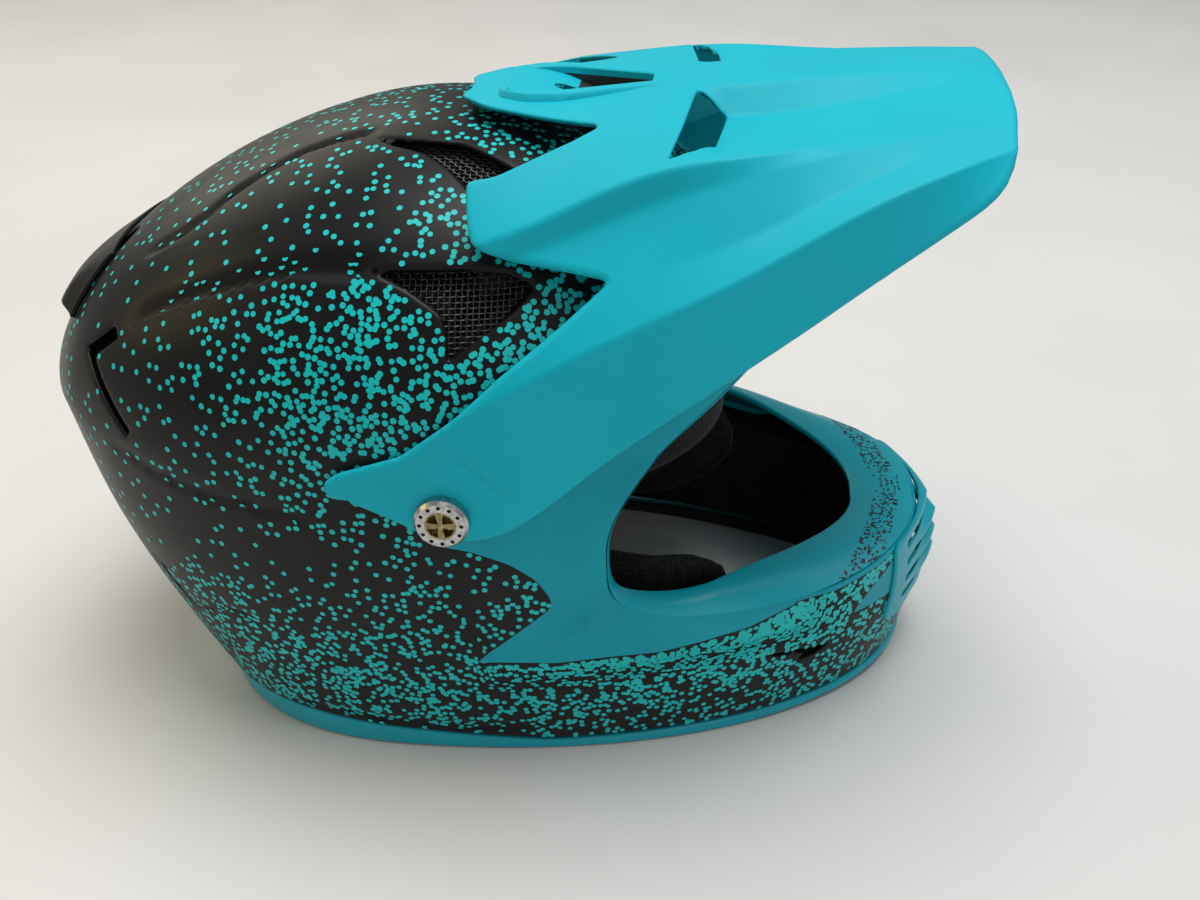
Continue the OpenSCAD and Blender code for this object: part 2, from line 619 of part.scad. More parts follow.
// A smooth closed curve through a list of points, at place t from 0 to 1
function curve(p, t) = let (n = len(p), w = t * n, i = floor(w) % n, f = w - floor(w),
    a = p[(i + n - 1) % n], b = p[i], c = p[(i + 1) % n], d = p[(i + 2) % n])
  0.5 * ((2 * b) + (c - a) * f + (2 * a - 5 * b + 4 * c - d) * f * f + (3 * b - a - 3 * c + d) * f * f * f);
pad_mid = [-36, 56];
pad_max_x = 81.5;
function pad_back(y, z) = min(pad_max_x, half_here(y, z, shell_wall + cheek_foam_t + strap_slot));
// Shares of the outline's size and of the pad's thickness, from the back face round to the front
pad_rows = [[0.02, 0], [0.5, 0], [0.9, 0], [0.97, 0.08], [1, 0.3], [0.985, 0.55], [0.93, 0.78], [0.8, 0.93],
  [0.66, 0.99], [0.6, 0.9], [0.54, 0.99], [0.3, 1.02], [0.02, 1.02]];
module cheek_pad() {
  color(fabric_black) bar_of([for (r = pad_rows) [for (k = [0 : pad_n - 1])
    let (p = mix(pad_mid, curve(pad_outline, k / pad_n), r[0]))
      [pad_back(p[0], p[1]) - r[1] * cheek_pad_t * (1 - 0.35 * ease((-p[0] - 50) / 60)), p[0], p[1]]]]);
}

// Visor: stations from the arm tips to the front edge. Each lists its y and the near rails as [x, z]:
// plateau edge, ridge foot, valley, lateral ridge, band, arm top, side crease and lower edge. A ninth
// rail runs along the middle at the plateau's height.
visor_half = brow_half_w + arm_gap + visor_t;
drawn_half = 121.5;
drawn_reach = 201;
visor_stations = [
  [52, [7, 261.5], [27, 261.5], [84, 250], [99, 224], [101, 216], [121.5, 190], [121.5, 170], [121.5, 118]],
  [4, [7, 261.2], [27, 261.2], [81, 249], [98.5, 227], [100, 219], [120.8, 188], [121.5, 172],
    [121.5, 118]],
  [-14, [7, 260.7], [27, 260.7], [79, 249.5], [96.5, 232], [98, 224], [115.5, 200],
    [121.5, 178], [121.5, 120]],
  [-30, [7, 260.6], [27, 260.6], [72, 253.5], [94, 235.5], [94.5, 227], [110, 206], [118, 190], [121, 133]],
  [-48, [7, 261.2], [27, 260.9], [62, 257.5], [90, 244], [90, 234], [105, 214], [115.5, 199], [119, 147]],
  [-70, [14, 263], [27, 262.3], [60, 260], [85, 253], [85, 242], [101, 222], [112, 208.5], [115.5, 168]],
  [-87, [18.5, 264.5], [27, 263.4], [60, 261.2], [82, 257], [84, 247], [98, 228], [109, 216], [112.2, 182]],
  [-101, [18, 265], [27.5, 254.5], [60, 253.5], [80, 257], [83, 249.5], [96, 231], [107, 221.5],
    [109, 189]],
  [-122, [15.5, 266], [28, 257], [56, 255.5], [73, 257.2], [78, 254.3], [90, 239.5], [102.5, 233],
    [104, 202]],
  [-143, [13, 267], [27, 259.6], [49, 257.5], [63, 257.9], [69, 256.6], [81, 249], [96, 244], [99, 211]],
  [-162, [11, 267.4], [22, 262.5], [41, 259.8], [57, 259], [64, 257.8], [75, 254.2], [89, 251], [94, 224]],
  [-178, [9, 267], [17, 264.8], [34, 262], [50, 260.6], [57, 260.4], [68, 257.6], [82, 254], [89, 236]],
  [-188, [8, 266.4], [14.5, 265.7], [31, 263.4], [46, 261.4], [54, 260], [63, 257.6],
    [76, 252.5], [85.5, 243.5]]];
// The rails' ends along the front edge, as [y, x, z]
visor_front = [[-201, 0, 265.8], [-201, 7, 265.8], [-200.9, 15, 265.5], [-200.7, 30, 264.5],
  [-200, 45, 262.3], [-199, 54, 260.1], [-197.6, 62, 257.6], [-193.8, 75, 252], [-190, 84, 246.2]];
rails = 9;
function rail_step(i) = i < 4 ? [0, 0, -1] : i == 4 ? [-0.35, 0, -0.94] : i == 5 ? [-0.6, 0, -0.8]
  : i == 6 ? [-0.85, 0, -0.5] : [-1, 0, 0];
// The arms follow the shell's widest level, and the front edge follows the visor's reach
function rail_x(x) = x + (visor_half - drawn_half) * clamp01((x - 84) / 30);
function rail_y(y) = y + (drawn_reach - visor_reach) * clamp01((-y - 100) / 80);
function rail_at(s, i) = [i == 0 ? 0 : rail_x(s[i][0]), rail_y(s[0]), high(s[max(1, i)][1])];
function rail_points(t) = concat(
  [for (s = visor_stations) [for (i = [0 : rails - 1]) rail_at(s, i) + t * rail_step(i)]],
  [[for (i = [0 : rails - 1])
    let (p = visor_front[i]) [p[1], rail_y(p[0]), high(p[2])] + t * rail_step(i)]]);
function both_halves(rows) = [for (r = rows)
  concat([for (i = [rails - 1 : -1 : 1]) [-r[i][0], r[i][1], r[i][2]]], r)];
// What is left of the sheet seen from the side, and the notches seen from above behind each wing
visor_side = raised([[39, 154], [44, 150], [44, 145], [39, 142], [34, 141], [19, 133.5], [7, 127],
  [-8, 125.5], [-24, 129], [-38, 139], [-54, 153], [-92, 181], [-116, 194], [-139, 207],
  [-165, 224], [-182, 236], [-240, 236], [-240, 300], [30, 300], [6, 275], [6, 256], [-8, 252],
  [-10, 240], [-13, 233], [-18, 229], [-25, 226.5], [-61, 221.5], [-44, 208], [-23, 192],
  [-5, 176], [14, 162]]);
visor_notch = [[0, 0], [14, 3], [28, -9], [34, -24], [43, -44], [47, -53], [51, -53], [60, -45], [70, -32],
  [77, -20], [79, -10], [88, -11], [97, -13.5], [140, -13.5], [140, 60], [0, 60]];
notch_z = high(218);
tab_hex = [[-15, -16], [15, -16], [20, -25], [20, -36], [7, -73], [-7, -73], [-20, -36], [-20, -25]];
tab_rim = 2;
tab_rim_top = high(263);
tab_low = high(200);
floor_t = 2;
travel_half = visor_travel + 0.6;
scoop = [[20, -88.5], [27.5, -99.5], [60, -98], [78, -81], [60, -84]];
scoop_low = high(245);
cut_h = 100;
module clamp_drum(r) translate([-60, hinge_y, hinge_z]) rotate([0, 90, 0])
  cylinder(h = 120, r = r, $fn = 90);
module visor() {
  color(turquoise) {
    difference() {
      union() {
        difference() {
          intersection() {
            sheet(both_halves(rail_points(visor_t)), both_halves(rail_points(0)));
            side_slab(visor_side);
          }
          both_sides() translate([0, 0, notch_z]) linear_extrude(cut_h) polygon(visor_notch);
          translate([0, 0, tab_low]) linear_extrude(cut_h) polygon(tab_hex);
        }
        difference() {
          for (i = [0 : 7]) hull() for (p = [tab_hex[i], tab_hex[(i + 1) % 8]])
            translate([p[0], p[1], tab_low]) cylinder(h = tab_rim_top - tab_low, r = tab_rim / 2, $fn = 8);
          clamp_drum(arc_r);
        }
        intersection() {
          translate([0, 0, tab_low]) linear_extrude(tab_rim_top - tab_low) polygon(tab_hex);
          difference() {
            clamp_drum(arc_r + floor_t);
            clamp_drum(arc_r);
          }
        }
      }
      hull() for (k = [-1, 0, 1]) on_centre(centre_angle + k * travel_half) translate([0, 0, arc_r - 10])
        cylinder(h = 24, r = centre_shank_r + 0.4, $fn = 16);
      for (side = [-1, 1]) on_hinge(side) translate([0, 0, visor_half - 8])
        cylinder(h = 16, r = bush_r + bush_gap, $fn = 32);
      both_sides() translate([0, 0, scoop_low]) linear_extrude(cut_h) polygon(scoop);
    }
  }
}

// Bush in each arm, washer behind it, side screw and its insert, each drawn along the hinge line
bush_r = 6;
bush_gap = 0.2;
washer_r = 8.5;
washer_gap = 0.1;
bore_r = shoulder_r + run_gap;
arm_in = visor_half - visor_t;
module arm_bush(side) {
  color(black) on_hinge(side) translate([0, 0, arm_in]) difference() {
    cylinder(h = visor_t, r = bush_r, $fn = 48);
    translate([0, 0, -1]) cylinder(h = visor_t + 2, r = bore_r, $fn = 48);
  }
}
module arm_washer(side) {
  t = arm_in - shell_x - 0.25;
  color(black) on_hinge(side) translate([0, 0, arm_in - washer_gap - t]) difference() {
    cylinder(h = t, r = washer_r, $fn = 48);
    translate([0, 0, -1]) cylinder(h = t + 2, r = bore_r, $fn = 48);
  }
}
seat_gap = 0.2;
head_seat = visor_half + seat_gap;
edge_h = head_h * 0.3;
edge_in = 1.1;
shoulder_low = shell_x + 0.1;
shank_len = 9;
head_hole_r = 0.8;
head_hole_in = 2.4;
head_hole_floor = 1.4;
head_holes = 12;
pocket_floor = 1.8;
head_pocket = [[1.1, 0], [4.6, -2.6], [5.5, 0], [4.6, 2.6]];
module side_screw(side) {
  color(steel) on_hinge(side) {
    difference() {
      union() {
        translate([0, 0, head_seat]) cylinder(h = head_h - edge_h, r = head_r, $fn = 64);
        translate([0, 0, head_seat + head_h - edge_h])
          cylinder(h = edge_h, r1 = head_r, r2 = head_r - edge_in, $fn = 64);
        translate([0, 0, shoulder_low])
          cylinder(h = head_seat + 0.1 - shoulder_low, r = shoulder_r, $fn = 48);
        translate([0, 0, shell_x - shank_len]) cylinder(h = shank_len + 1, r = shank_r, $fn = 48);
      }
      for (k = [0 : head_holes - 1]) rotate([0, 0, k * 360 / head_holes])
        translate([head_r - head_hole_in, 0, visor_half + head_hole_floor])
          cylinder(h = head_h, r = head_hole_r, $fn = 12);
      for (k = [0 : 3]) rotate([0, 0, 45 + k * 90]) translate([0, 0, visor_half + pocket_floor])
        linear_extrude(head_h) polygon(head_pocket);
    }
  }
}
insert_len = shell_wall + flange_drop + flange_t;
centre_drop = 1.2;
module threaded_insert(len, bore) {
  difference() {
    union() {
      translate([0, 0, -len]) cylinder(h = len, r = barrel_r, $fn = 48);
      translate([0, 0, -len]) cylinder(h = flange_t, r = flange_r, $fn = 48);
    }
    translate([0, 0, -len - 1]) cylinder(h = len + 2, r = bore, $fn = 48);
  }
}
module side_insert(side) {
  color(steel) on_hinge(side) translate([0, 0, shell_x]) threaded_insert(insert_len, shank_r + run_gap);
}
centre_top = arc_r - 0.4;
module centre_insert() {
  color(steel) on_centre() translate([0, 0, centre_top])
    threaded_insert(centre_top - shell_r + insert_len + centre_drop, centre_shank_r + run_gap);
}
centre_len = 14;
module centre_screw() {
  seat = arc_r + floor_t + 0.15;
  color(steel) on_centre() difference() {
    union() {
      translate([0, 0, seat]) cylinder(h = 2.6, r = centre_head_r, $fn = 48);
      translate([0, 0, seat - centre_len]) cylinder(h = centre_len + 1, r = centre_shank_r, $fn = 48);
    }
    translate([0, 0, seat + 1.2]) cylinder(h = 3, r = 2, $fn = 6);
  }
}

// Chin strap, as [x, z] along the middle of the webbing for the left side
strap_run = [[93.2, 108], [92.9, 99], [90.2, 74], [86.4, 48], [82.2, 27], [75.4, 12], [66, 3.2],
  [56, web_t / 2]];
loop_z = wire_r + run_gap + web_t;
inner_bar_x = -38;
outer_bar_x = -43;
inner_bow = 15;
outer_bow = 24;
// Across the webbing at point i of its run
function across(run, i) = let (a = run[max(0, i - 1)], b = run[min(len(run) - 1, i + 1)], d = b - a)
  [d[1], -d[0]] / norm(d) * web_t / 2;
module webbing(run) {
  last = len(run) - 1;
  outline = concat([for (i = [0 : last]) run[i] + across(run, i)],
    [for (i = [last : -1 : 0]) run[i] - across(run, i)]);
  translate([0, strap_y + web_w / 2, 0]) rotate([90, 0, 0]) linear_extrude(web_w) polygon(outline);
}
module bar_line(x, r, length) translate([x, strap_y - length / 2, loop_z]) rotate([-90, 0, 0])
  cylinder(h = length, r = r, $fn = 32);
module strap_hole() translate([anchor_x - 6, strap_y, anchor_z]) rotate([0, 90, 0])
  cylinder(h = 12, r = pin_r + 0.3, $fn = 24);
pin_r = 2.4;
module strap_right() {
  color(fabric_black) difference() {
    union() {
      mirror([1, 0, 0]) webbing(concat(strap_run, [[50, web_t / 2], [-outer_bar_x, web_t / 2]]));
      for (x = [inner_bar_x, outer_bar_x]) bar_line(x, loop_z, web_w);
      translate([outer_bar_x, strap_y - web_w / 2, 0]) cube([inner_bar_x - outer_bar_x, web_w, 2 * loop_z]);
    }
    for (x = [inner_bar_x, outer_bar_x]) bar_line(x, wire_r + 0.12, web_w + 4);
    mirror([1, 0, 0]) strap_hole();
  }
}
tail_end = 2;
snap_stud_x = 8;
snap_cap_x = 50;
module strap_left() {
  color(fabric_black) difference() {
    webbing(concat(strap_run, [[40, web_t / 2], [tail_end, web_t / 2]]));
    strap_hole();
    for (x = [snap_stud_x, snap_cap_x]) translate([x, strap_y, -1]) cylinder(h = 5, r = 2.1, $fn = 24);
  }
}
plate_in = 1.9;
plate_t = 1.5;
plate_w = 18;
plate_h = 12;
rivet_r = 5;
rivet_t = 1.3;
rivet_out = 2.6;
anchor_len = half_here(strap_y, anchor_z, shell_wall) - anchor_x - plate_in - 1.1;
module strap_anchor() {
  color(steel) translate([anchor_x, strap_y, anchor_z]) {
    translate([plate_in, -plate_w / 2, -plate_h / 2]) cube([plate_t, plate_w, plate_h]);
    translate([plate_in, 0, 0]) rotate([0, 90, 0]) cylinder(h = anchor_len, r = anchor_r, $fn = 32);
    translate([-rivet_out, 0, 0]) rotate([0, 90, 0])
      cylinder(h = rivet_out + plate_in + 0.5, r = pin_r, $fn = 32);
    translate([-rivet_out, 0, 0]) rotate([0, 90, 0]) cylinder(h = rivet_t, r = rivet_r, $fn = 32);
  }
}
// D-rings: a straight bar and a bow, lying flat on the table
module d_ring(bar_x, width, bow) {
  tilt = asin((loop_z - wire_r) / (bow + wire_r));
  color(steel) translate([bar_x, strap_y, loop_z]) rotate([0, tilt, 0]) {
    w = width / 2 + wire_r;
    translate([0, -w, 0]) rotate([-90, 0, 0]) cylinder(h = 2 * w, r = wire_r, $fn = 24);
    for (s = [-1, 1]) translate([0, s * w, 0]) {
      sphere(r = wire_r, $fn = 24);
      rotate([0, 90, 0]) cylinder(h = bow - w, r = wire_r, $fn = 24);
    }
    translate([bow - w, 0, 0]) rotate([0, 0, -90]) rotate_extrude(angle = 180, $fn = 48)
      translate([w, 0]) circle(r = wire_r, $fn = 24);
  }
}
module strap_snap_cap() {
  color(steel) translate([snap_cap_x, strap_y, 0.1]) union() {
    cylinder(h = 2, r = 2, $fn = 24);
    translate([0, 0, 1.8]) cylinder(h = 1.6, r = 6, $fn = 48);
  }
}
module strap_snap_stud() {
  color(steel) translate([snap_stud_x, strap_y, 0.1]) union() {
    cylinder(h = 2, r = 2, $fn = 24);
    translate([0, 0, 1.8]) cylinder(h = 0.8, r = 5, $fn = 48);
    translate([0, 0, 2.4]) cylinder(h = 2.2, r = 2.6, $fn = 32);
  }
}

// Everything above is drawn from a point under the helmet's middle; this centres the whole box
module placed() translate([0, (visor_reach - brow_back) / 2, 0]) children();

placed() outer_shell();
placed() base_trim();
placed() port_trim();
placed() mouth_grille();
placed() mouth_screen();
placed() mirror([1, 0, 0]) top_screen();  // top_screen_right
placed() top_screen();  // top_screen_left
placed() mirror([1, 0, 0]) side_screen();  // side_screen_right
placed() side_screen();  // side_screen_left
placed() crown_foam();
placed() chin_foam();
placed() comfort_liner();
placed() neck_roll();
placed() mirror([1, 0, 0]) cheek_pad();  // cheek_pad_right
placed() cheek_pad();  // cheek_pad_left
placed() visor();
placed() arm_bush(-1);  // arm_bush_right
placed() arm_bush(1);  // arm_bush_left
placed() arm_washer(-1);  // arm_washer_right
placed() arm_washer(1);  // arm_washer_left
placed() side_screw(-1);  // side_screw_right
placed() side_screw(1);  // side_screw_left
placed() side_insert(-1);  // side_insert_right
placed() side_insert(1);  // side_insert_left
placed() centre_screw();
placed() centre_insert();
placed() strap_right();
placed() strap_left();
placed() mirror([1, 0, 0]) strap_anchor();  // strap_anchor_right
placed() strap_anchor();  // strap_anchor_left
placed() d_ring(outer_bar_x, outer_ring_w, outer_bow);  // d_ring_outer
placed() d_ring(inner_bar_x, ring_w, inner_bow);  // d_ring_inner
placed() strap_snap_cap();
placed() strap_snap_stud();
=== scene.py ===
# %% [markdown]
# # A full-face mountain bike helmet
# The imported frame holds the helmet's real pieces, at their real sizes. This script dresses it: a finer
# shell with creases, vents and printed dots, a smooth visor, woven screens, padding and webbing, and
# the materials. All sizes below are in millimetres, in the frame's own axes: the face looks along -Y.
# %%
import math
import bmesh
import bpy
import numpy as np
from mathutils import Matrix, Vector


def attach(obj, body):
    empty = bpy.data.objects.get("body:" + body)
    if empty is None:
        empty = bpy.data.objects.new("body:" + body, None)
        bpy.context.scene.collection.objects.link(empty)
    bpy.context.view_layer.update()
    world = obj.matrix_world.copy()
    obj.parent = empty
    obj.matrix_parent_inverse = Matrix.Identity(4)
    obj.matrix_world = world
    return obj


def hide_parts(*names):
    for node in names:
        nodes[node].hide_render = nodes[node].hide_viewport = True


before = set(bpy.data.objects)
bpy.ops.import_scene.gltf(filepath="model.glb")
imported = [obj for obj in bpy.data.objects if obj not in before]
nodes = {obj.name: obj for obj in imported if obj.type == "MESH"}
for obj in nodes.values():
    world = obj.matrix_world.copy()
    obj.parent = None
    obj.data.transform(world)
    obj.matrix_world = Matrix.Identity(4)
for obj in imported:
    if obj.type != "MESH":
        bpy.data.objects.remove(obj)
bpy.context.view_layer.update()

print("CAD nodes:", len(nodes))

# %% [markdown]
# ## Units and the drawing's origin
# The sizes are those of a drawing whose origin lies under the middle of the shell, 5.5 mm in front of
# the frame's own origin.
# %%
MM = 0.001
SHIFT_Y = 5.5


def placed(points):
    """Points of the drawing, in mm, as points of the frame, in metres."""
    return (np.asarray(points, float) + [0.0, SHIFT_Y, 0.0]) * MM


def unit(v):
    return v / np.linalg.norm(v, axis=-1, keepdims=True)


def ease(t):
    """0 to 1, with a level start and end."""
    t = np.clip(t, 0, 1)
    return t * t * (3 - 2 * t)


def signed_power(v, power):
    return np.sign(v) * np.abs(v) ** power


def round_turn(steps):
    """Evenly spaced angles once round, in radians."""
    return np.arange(steps) * 2 * math.pi / steps


def walked(points):
    """The length walked along a run of points, at each point."""
    return np.concatenate([[0], np.cumsum(np.linalg.norm(np.diff(points, axis=0), axis=1))])


def smooth_curve(params, values, at):
    """Values at new places of a curve through given ones, with slopes from the neighbours."""
    n = len(params)
    i = np.clip(np.searchsorted(params, at, side="right") - 1, 0, n - 2)
    low, high = np.maximum(np.arange(n) - 1, 0), np.minimum(np.arange(n) + 1, n - 1)
    each = (...,) + (None,) * (values.ndim - 1)
    slopes = (values[high] - values[low]) / (params[high] - params[low])[each]
    h = (params[i + 1] - params[i])[each]
    t = (at - params[i])[each] / h
    return ((2 * t**3 - 3 * t**2 + 1) * values[i] + (t**3 - 2 * t**2 + t) * h * slopes[i]
            + (3 * t**2 - 2 * t**3) * values[i + 1] + (t**3 - t**2) * h * slopes[i + 1])


# %% [markdown]
# ## Camera
# The camera stands where the photograph was taken from: to the wearer's right, looking down. The same
# numbers give the pixel at which any point of the helmet shows, which places the paint later on.
# %%
IMAGE_W, IMAGE_H = 1200, 900
FOCAL_PX = 1230.328
CAMERA_AT = np.array([-483.562, -99.485, 390.857])
HEADING = 0.1144568
DIP = 0.55065104
ROLL = -0.0405411

ahead = np.array([math.cos(DIP) * math.cos(HEADING), math.cos(DIP) * math.sin(HEADING), -math.sin(DIP)])
level = unit(np.cross(ahead, [0, 0, 1]))
over = np.cross(level, ahead)
cam_x = math.cos(ROLL) * level + math.sin(ROLL) * over
cam_y = math.cos(ROLL) * over - math.sin(ROLL) * level


def pixel(points):
    """Where points of the drawing show in the photograph, in its 1200 by 900 pixels."""
    ray = np.asarray(points, float) - CAMERA_AT
    far = ray @ ahead
    return np.stack([IMAGE_W / 2 + FOCAL_PX * (ray @ cam_x) / far,
                     IMAGE_H / 2 - FOCAL_PX * (ray @ cam_y) / far], -1)


cam_data = bpy.data.cameras.new("camera")
cam_data.sensor_width = 36
cam_data.lens = FOCAL_PX * 36 / IMAGE_W
camera = bpy.data.objects.new("camera", cam_data)
turn = Matrix((cam_x, cam_y, -ahead)).transposed().to_4x4()
camera.matrix_world = Matrix.Translation(Vector(placed(CAMERA_AT))) @ turn
bpy.context.scene.collection.objects.link(camera)
bpy.context.scene.camera = camera
print("lens", round(cam_data.lens, 2), "mm")

# %% [markdown]
# ## The form of the shell
# Three curves over the height give the reach to the front, the reach to the back and the half width.
# Each level is a rounded oval between them, and the dome closes them with power curves.
# %%
SHELL_H, BROW_Z, CROWN_Y = 256.0, 150.0, 16.0
LEVEL_Z = np.array([0, 30, 60, 85, 110, 150], float)
LEVEL_FRONT = np.array([184, 190, 191, 185, 170, 130], float)
LEVEL_BACK = np.array([134, 149, 163, 173, 181, 190], float)
LEVEL_HALF = np.array([99, 105, 110, 114, 116.5, 118], float)
FRONT_POWER, BACK_POWER, SIDE_POWER = 2.0, 1.62, 2.15
FRONT_ROUND, BACK_ROUND = (2.05, 0.2), (2.6, -0.35)    # powers of the ovals: at the floor, and added above
WALL = 2.8


def through(values, z):
    """A smooth curve through the level values."""
    return smooth_curve(LEVEL_Z, values, np.clip(z, 0, BROW_Z))


def dome(z):
    """Height over the brow as a share of the dome, 0 to 1."""
    return np.clip((np.asarray(z, float) - BROW_Z) / (SHELL_H - BROW_Z), 0, 1)


def fall(t, power):
    return np.maximum(0, 1 - t**power) ** (1 / power)


def reach_at(values, power, middle, z):
    """A reach at height z: the level values up to the brow, then a power curve in to the middle."""
    return np.where(z <= BROW_Z, through(values, z), (values[-1] - middle) * fall(dome(z), power) + middle)


def front_at(z):
    return reach_at(LEVEL_FRONT, FRONT_POWER, -CROWN_Y, z)


def back_at(z):
    return reach_at(LEVEL_BACK, BACK_POWER, CROWN_Y, z)


def half_at(z):
    return reach_at(LEVEL_HALF, SIDE_POWER, 0, z)


def front_round(z):
    return FRONT_ROUND[0] + FRONT_ROUND[1] * np.clip(z / BROW_Z, 0, 1)


def back_round(z):
    return BACK_ROUND[0] + BACK_ROUND[1] * np.clip(z / BROW_Z, 0, 1)


def form_point(z, angle, depth=0.0):
    """A point of the form at height z and an angle in degrees from straight ahead, drawn in by depth."""
    z, angle, depth = np.broadcast_arrays(*(np.asarray(v, float) for v in (z, angle, depth)))
    c, s = np.cos(np.radians(angle)), np.sin(np.radians(angle))
    n = np.where(c > 0, front_round(z), back_round(z))
    height = np.where(z > BROW_Z, BROW_Z + (z - BROW_Z) * (SHELL_H - depth - BROW_Z) / (SHELL_H - BROW_Z), z)
    reach = np.where(c > 0, -(front_at(z) + CROWN_Y - depth), back_at(z) - CROWN_Y - depth)
    return np.stack([(half_at(z) - depth) * signed_power(s, 2 / n),
                     CROWN_Y + reach * np.abs(c) ** (2 / n), height], -1)


def half_here(y, z, depth=0.0):
    """Half width of the form at a place y and a height z."""
    y, z = np.asarray(y, float), np.asarray(z, float)
    reach = np.maximum(0.01, np.where(y < CROWN_Y, front_at(z) + CROWN_Y, back_at(z) - CROWN_Y) - depth)
    n = np.where(y < CROWN_Y, front_round(z), back_round(z))
    share = np.minimum(1, np.abs(y - CROWN_Y) / reach)
    return (half_at(z) - depth) * np.maximum(0, 1 - share**n) ** (1 / n)


def side_here(y, z, depth):
    """Half width of the form drawn in by depth, whose dome is lower by the same depth."""
    raised = BROW_Z + (z - BROW_Z) * (SHELL_H - BROW_Z) / (SHELL_H - depth - BROW_Z)
    return half_here(y, np.where(z < BROW_Z, z, raised), depth)


def furthest(inside, low, high, halvings):
    """The last place between low and high that is still inside."""
    for _ in range(halvings):
        mid = (low + high) / 2
        here = inside(mid)
        low, high = np.where(here, mid, low), np.where(here, high, mid)
    return low


def top_here(x, y, depth):
    """Height of the form over a place x, y."""
    return furthest(lambda z: side_here(y, z, depth) > np.abs(x),
                    np.full(np.shape(x), BROW_Z), np.full(np.shape(x), SHELL_H), 24)


print("half width at the brow", float(half_here(CROWN_Y, 150)), "mm")

# %% [markdown]
# ## Tools for surfaces
# `Skin` is an open surface of triangles. It can be cut along the zero line of any field, so that each
# vent and edge gets a clean outline, with rings beside it that round its edge off.
# %%
MAX_CUT = 0.45                # a rounded corner takes at most this share of the sides beside it
INNER_RING = 0.45             # where the second ring beside an opening lies, as a share of the first


def outline_distance(points, outline):
    """Signed distance of 2-D points to a closed outline, in its own units: above zero inside."""
    corners = np.asarray(outline, float)
    best = np.full(len(points), np.inf)
    inside = np.zeros(len(points), bool)
    for a, b in zip(corners, np.roll(corners, -1, axis=0)):
        side = b - a
        t = np.clip(((points - a) @ side) / max(side @ side, 1e-9), 0, 1)
        best = np.minimum(best, np.linalg.norm(points - a - t[:, None] * side, axis=1))
        crosses = (a[1] > points[:, 1]) != (b[1] > points[:, 1])
        rise = np.where(abs(side[1]) > 1e-12, side[1], 1e-12)
        inside ^= crosses & (points[:, 0] < a[0] + (points[:, 1] - a[1]) / rise * side[0])
    return np.where(inside, best, -best)


def rounded(outline, radius, steps=5):
    """An outline with its corners rounded: each corner becomes a short curve."""
    corners = np.asarray(outline, float)
    out = []
    for before, here, after in zip(np.roll(corners, 1, axis=0), corners, np.roll(corners, -1, axis=0)):
        to_a, to_b = before - here, after - here
        cut = min(radius, MAX_CUT * np.linalg.norm(to_a), MAX_CUT * np.linalg.norm(to_b))
        a = here + to_a / np.linalg.norm(to_a) * cut
        b = here + to_b / np.linalg.norm(to_b) * cut
        for t in np.linspace(0, 1, steps):
            out.append((1 - t) ** 2 * a + 2 * t * (1 - t) * here + t**2 * b)
    return np.array(out)


class Skin:
    """Triangles with values at their points. `rise` lifts the surface, `drop` sinks it, in mm."""

    def __init__(self, points, triangles, **values):
        self.triangles = np.asarray(triangles)
        self.values = {"at": np.asarray(points, float), **values}

    def __getitem__(self, name):
        return self.values[name]

    def split(self, field, keep_all=False, snap=0.07):
        """Cuts along field = 0, and keeps only the part below zero unless keep_all is set."""
        f = field(self)
        f = np.where(np.abs(f) < snap, 0.0, f)
        signs = np.sign(f)[self.triangles]
        crossed = (signs.min(1) < 0) & (signs.max(1) > 0)
        whole = ~crossed if keep_all else ~crossed & (signs.max(1) <= 0)
        kept = [self.triangles[whole]]
        cuts, new_a, new_b, share, pieces = {}, [], [], [], []
        base = len(f)
        for tri in self.triangles[crossed]:
            low, high = [], []
            for a, b in ((tri[0], tri[1]), (tri[1], tri[2]), (tri[2], tri[0])):
                if f[a] <= 0:
                    low.append(a)
                if f[a] >= 0:
                    high.append(a)
                if f[a] * f[b] < 0:
                    key = (min(a, b), max(a, b))
                    if key not in cuts:
                        cuts[key] = base + len(new_a)
                        new_a.append(key[0])
                        new_b.append(key[1])
                        share.append(f[key[0]] / (f[key[0]] - f[key[1]]))
                    low.append(cuts[key])
                    high.append(cuts[key])
            for ring in ([low, high] if keep_all else [low]):
                pieces += [(ring[0], ring[k], ring[k + 1]) for k in range(1, len(ring) - 1)]
        if pieces:
            kept.append(np.array(pieces))
        share = np.array(share)
        for name, v in self.values.items():
            if new_a:
                t = share if v.ndim == 1 else share[:, None]
                self.values[name] = np.concatenate([v, v[new_a] * (1 - t) + v[new_b] * t])
        self.triangles = np.concatenate(kept)
        used = np.unique(self.triangles)
        new_index = np.zeros(len(self["at"]), int)
        new_index[used] = np.arange(len(used))
        self.triangles = new_index[self.triangles]
        self.values = {name: v[used] for name, v in self.values.items()}

    def open(self, field, edge=1.2, drop=0.6):
        """Cuts an opening where field is above zero, and rounds the surface down to its edge."""
        for ring in (edge, edge * INNER_RING):
            self.split(lambda skin: field(skin) + ring, keep_all=True)
        self.split(field)
        near = np.clip(1 + field(self) / edge, 0, 1)           # 0 at the ring, 1 at the cut
        self.values["drop"] = np.maximum(self["drop"], drop * near**2)


def grid_triangles(rows, cols, closed=False):
    """Triangles of a grid of points, wound so that they face outward when columns run to the right."""
    last = cols if closed else cols - 1
    r, c = np.meshgrid(np.arange(rows - 1), np.arange(last), indexing="ij")
    a, b = (r * cols + c).ravel(), (r * cols + (c + 1) % cols).ravel()
    return np.concatenate([np.stack([a, b, b + cols], 1), np.stack([a, b + cols, a + cols], 1)])


def grid_normals(grid):
    return unit(np.cross(np.gradient(grid, axis=1), np.gradient(grid, axis=0)))


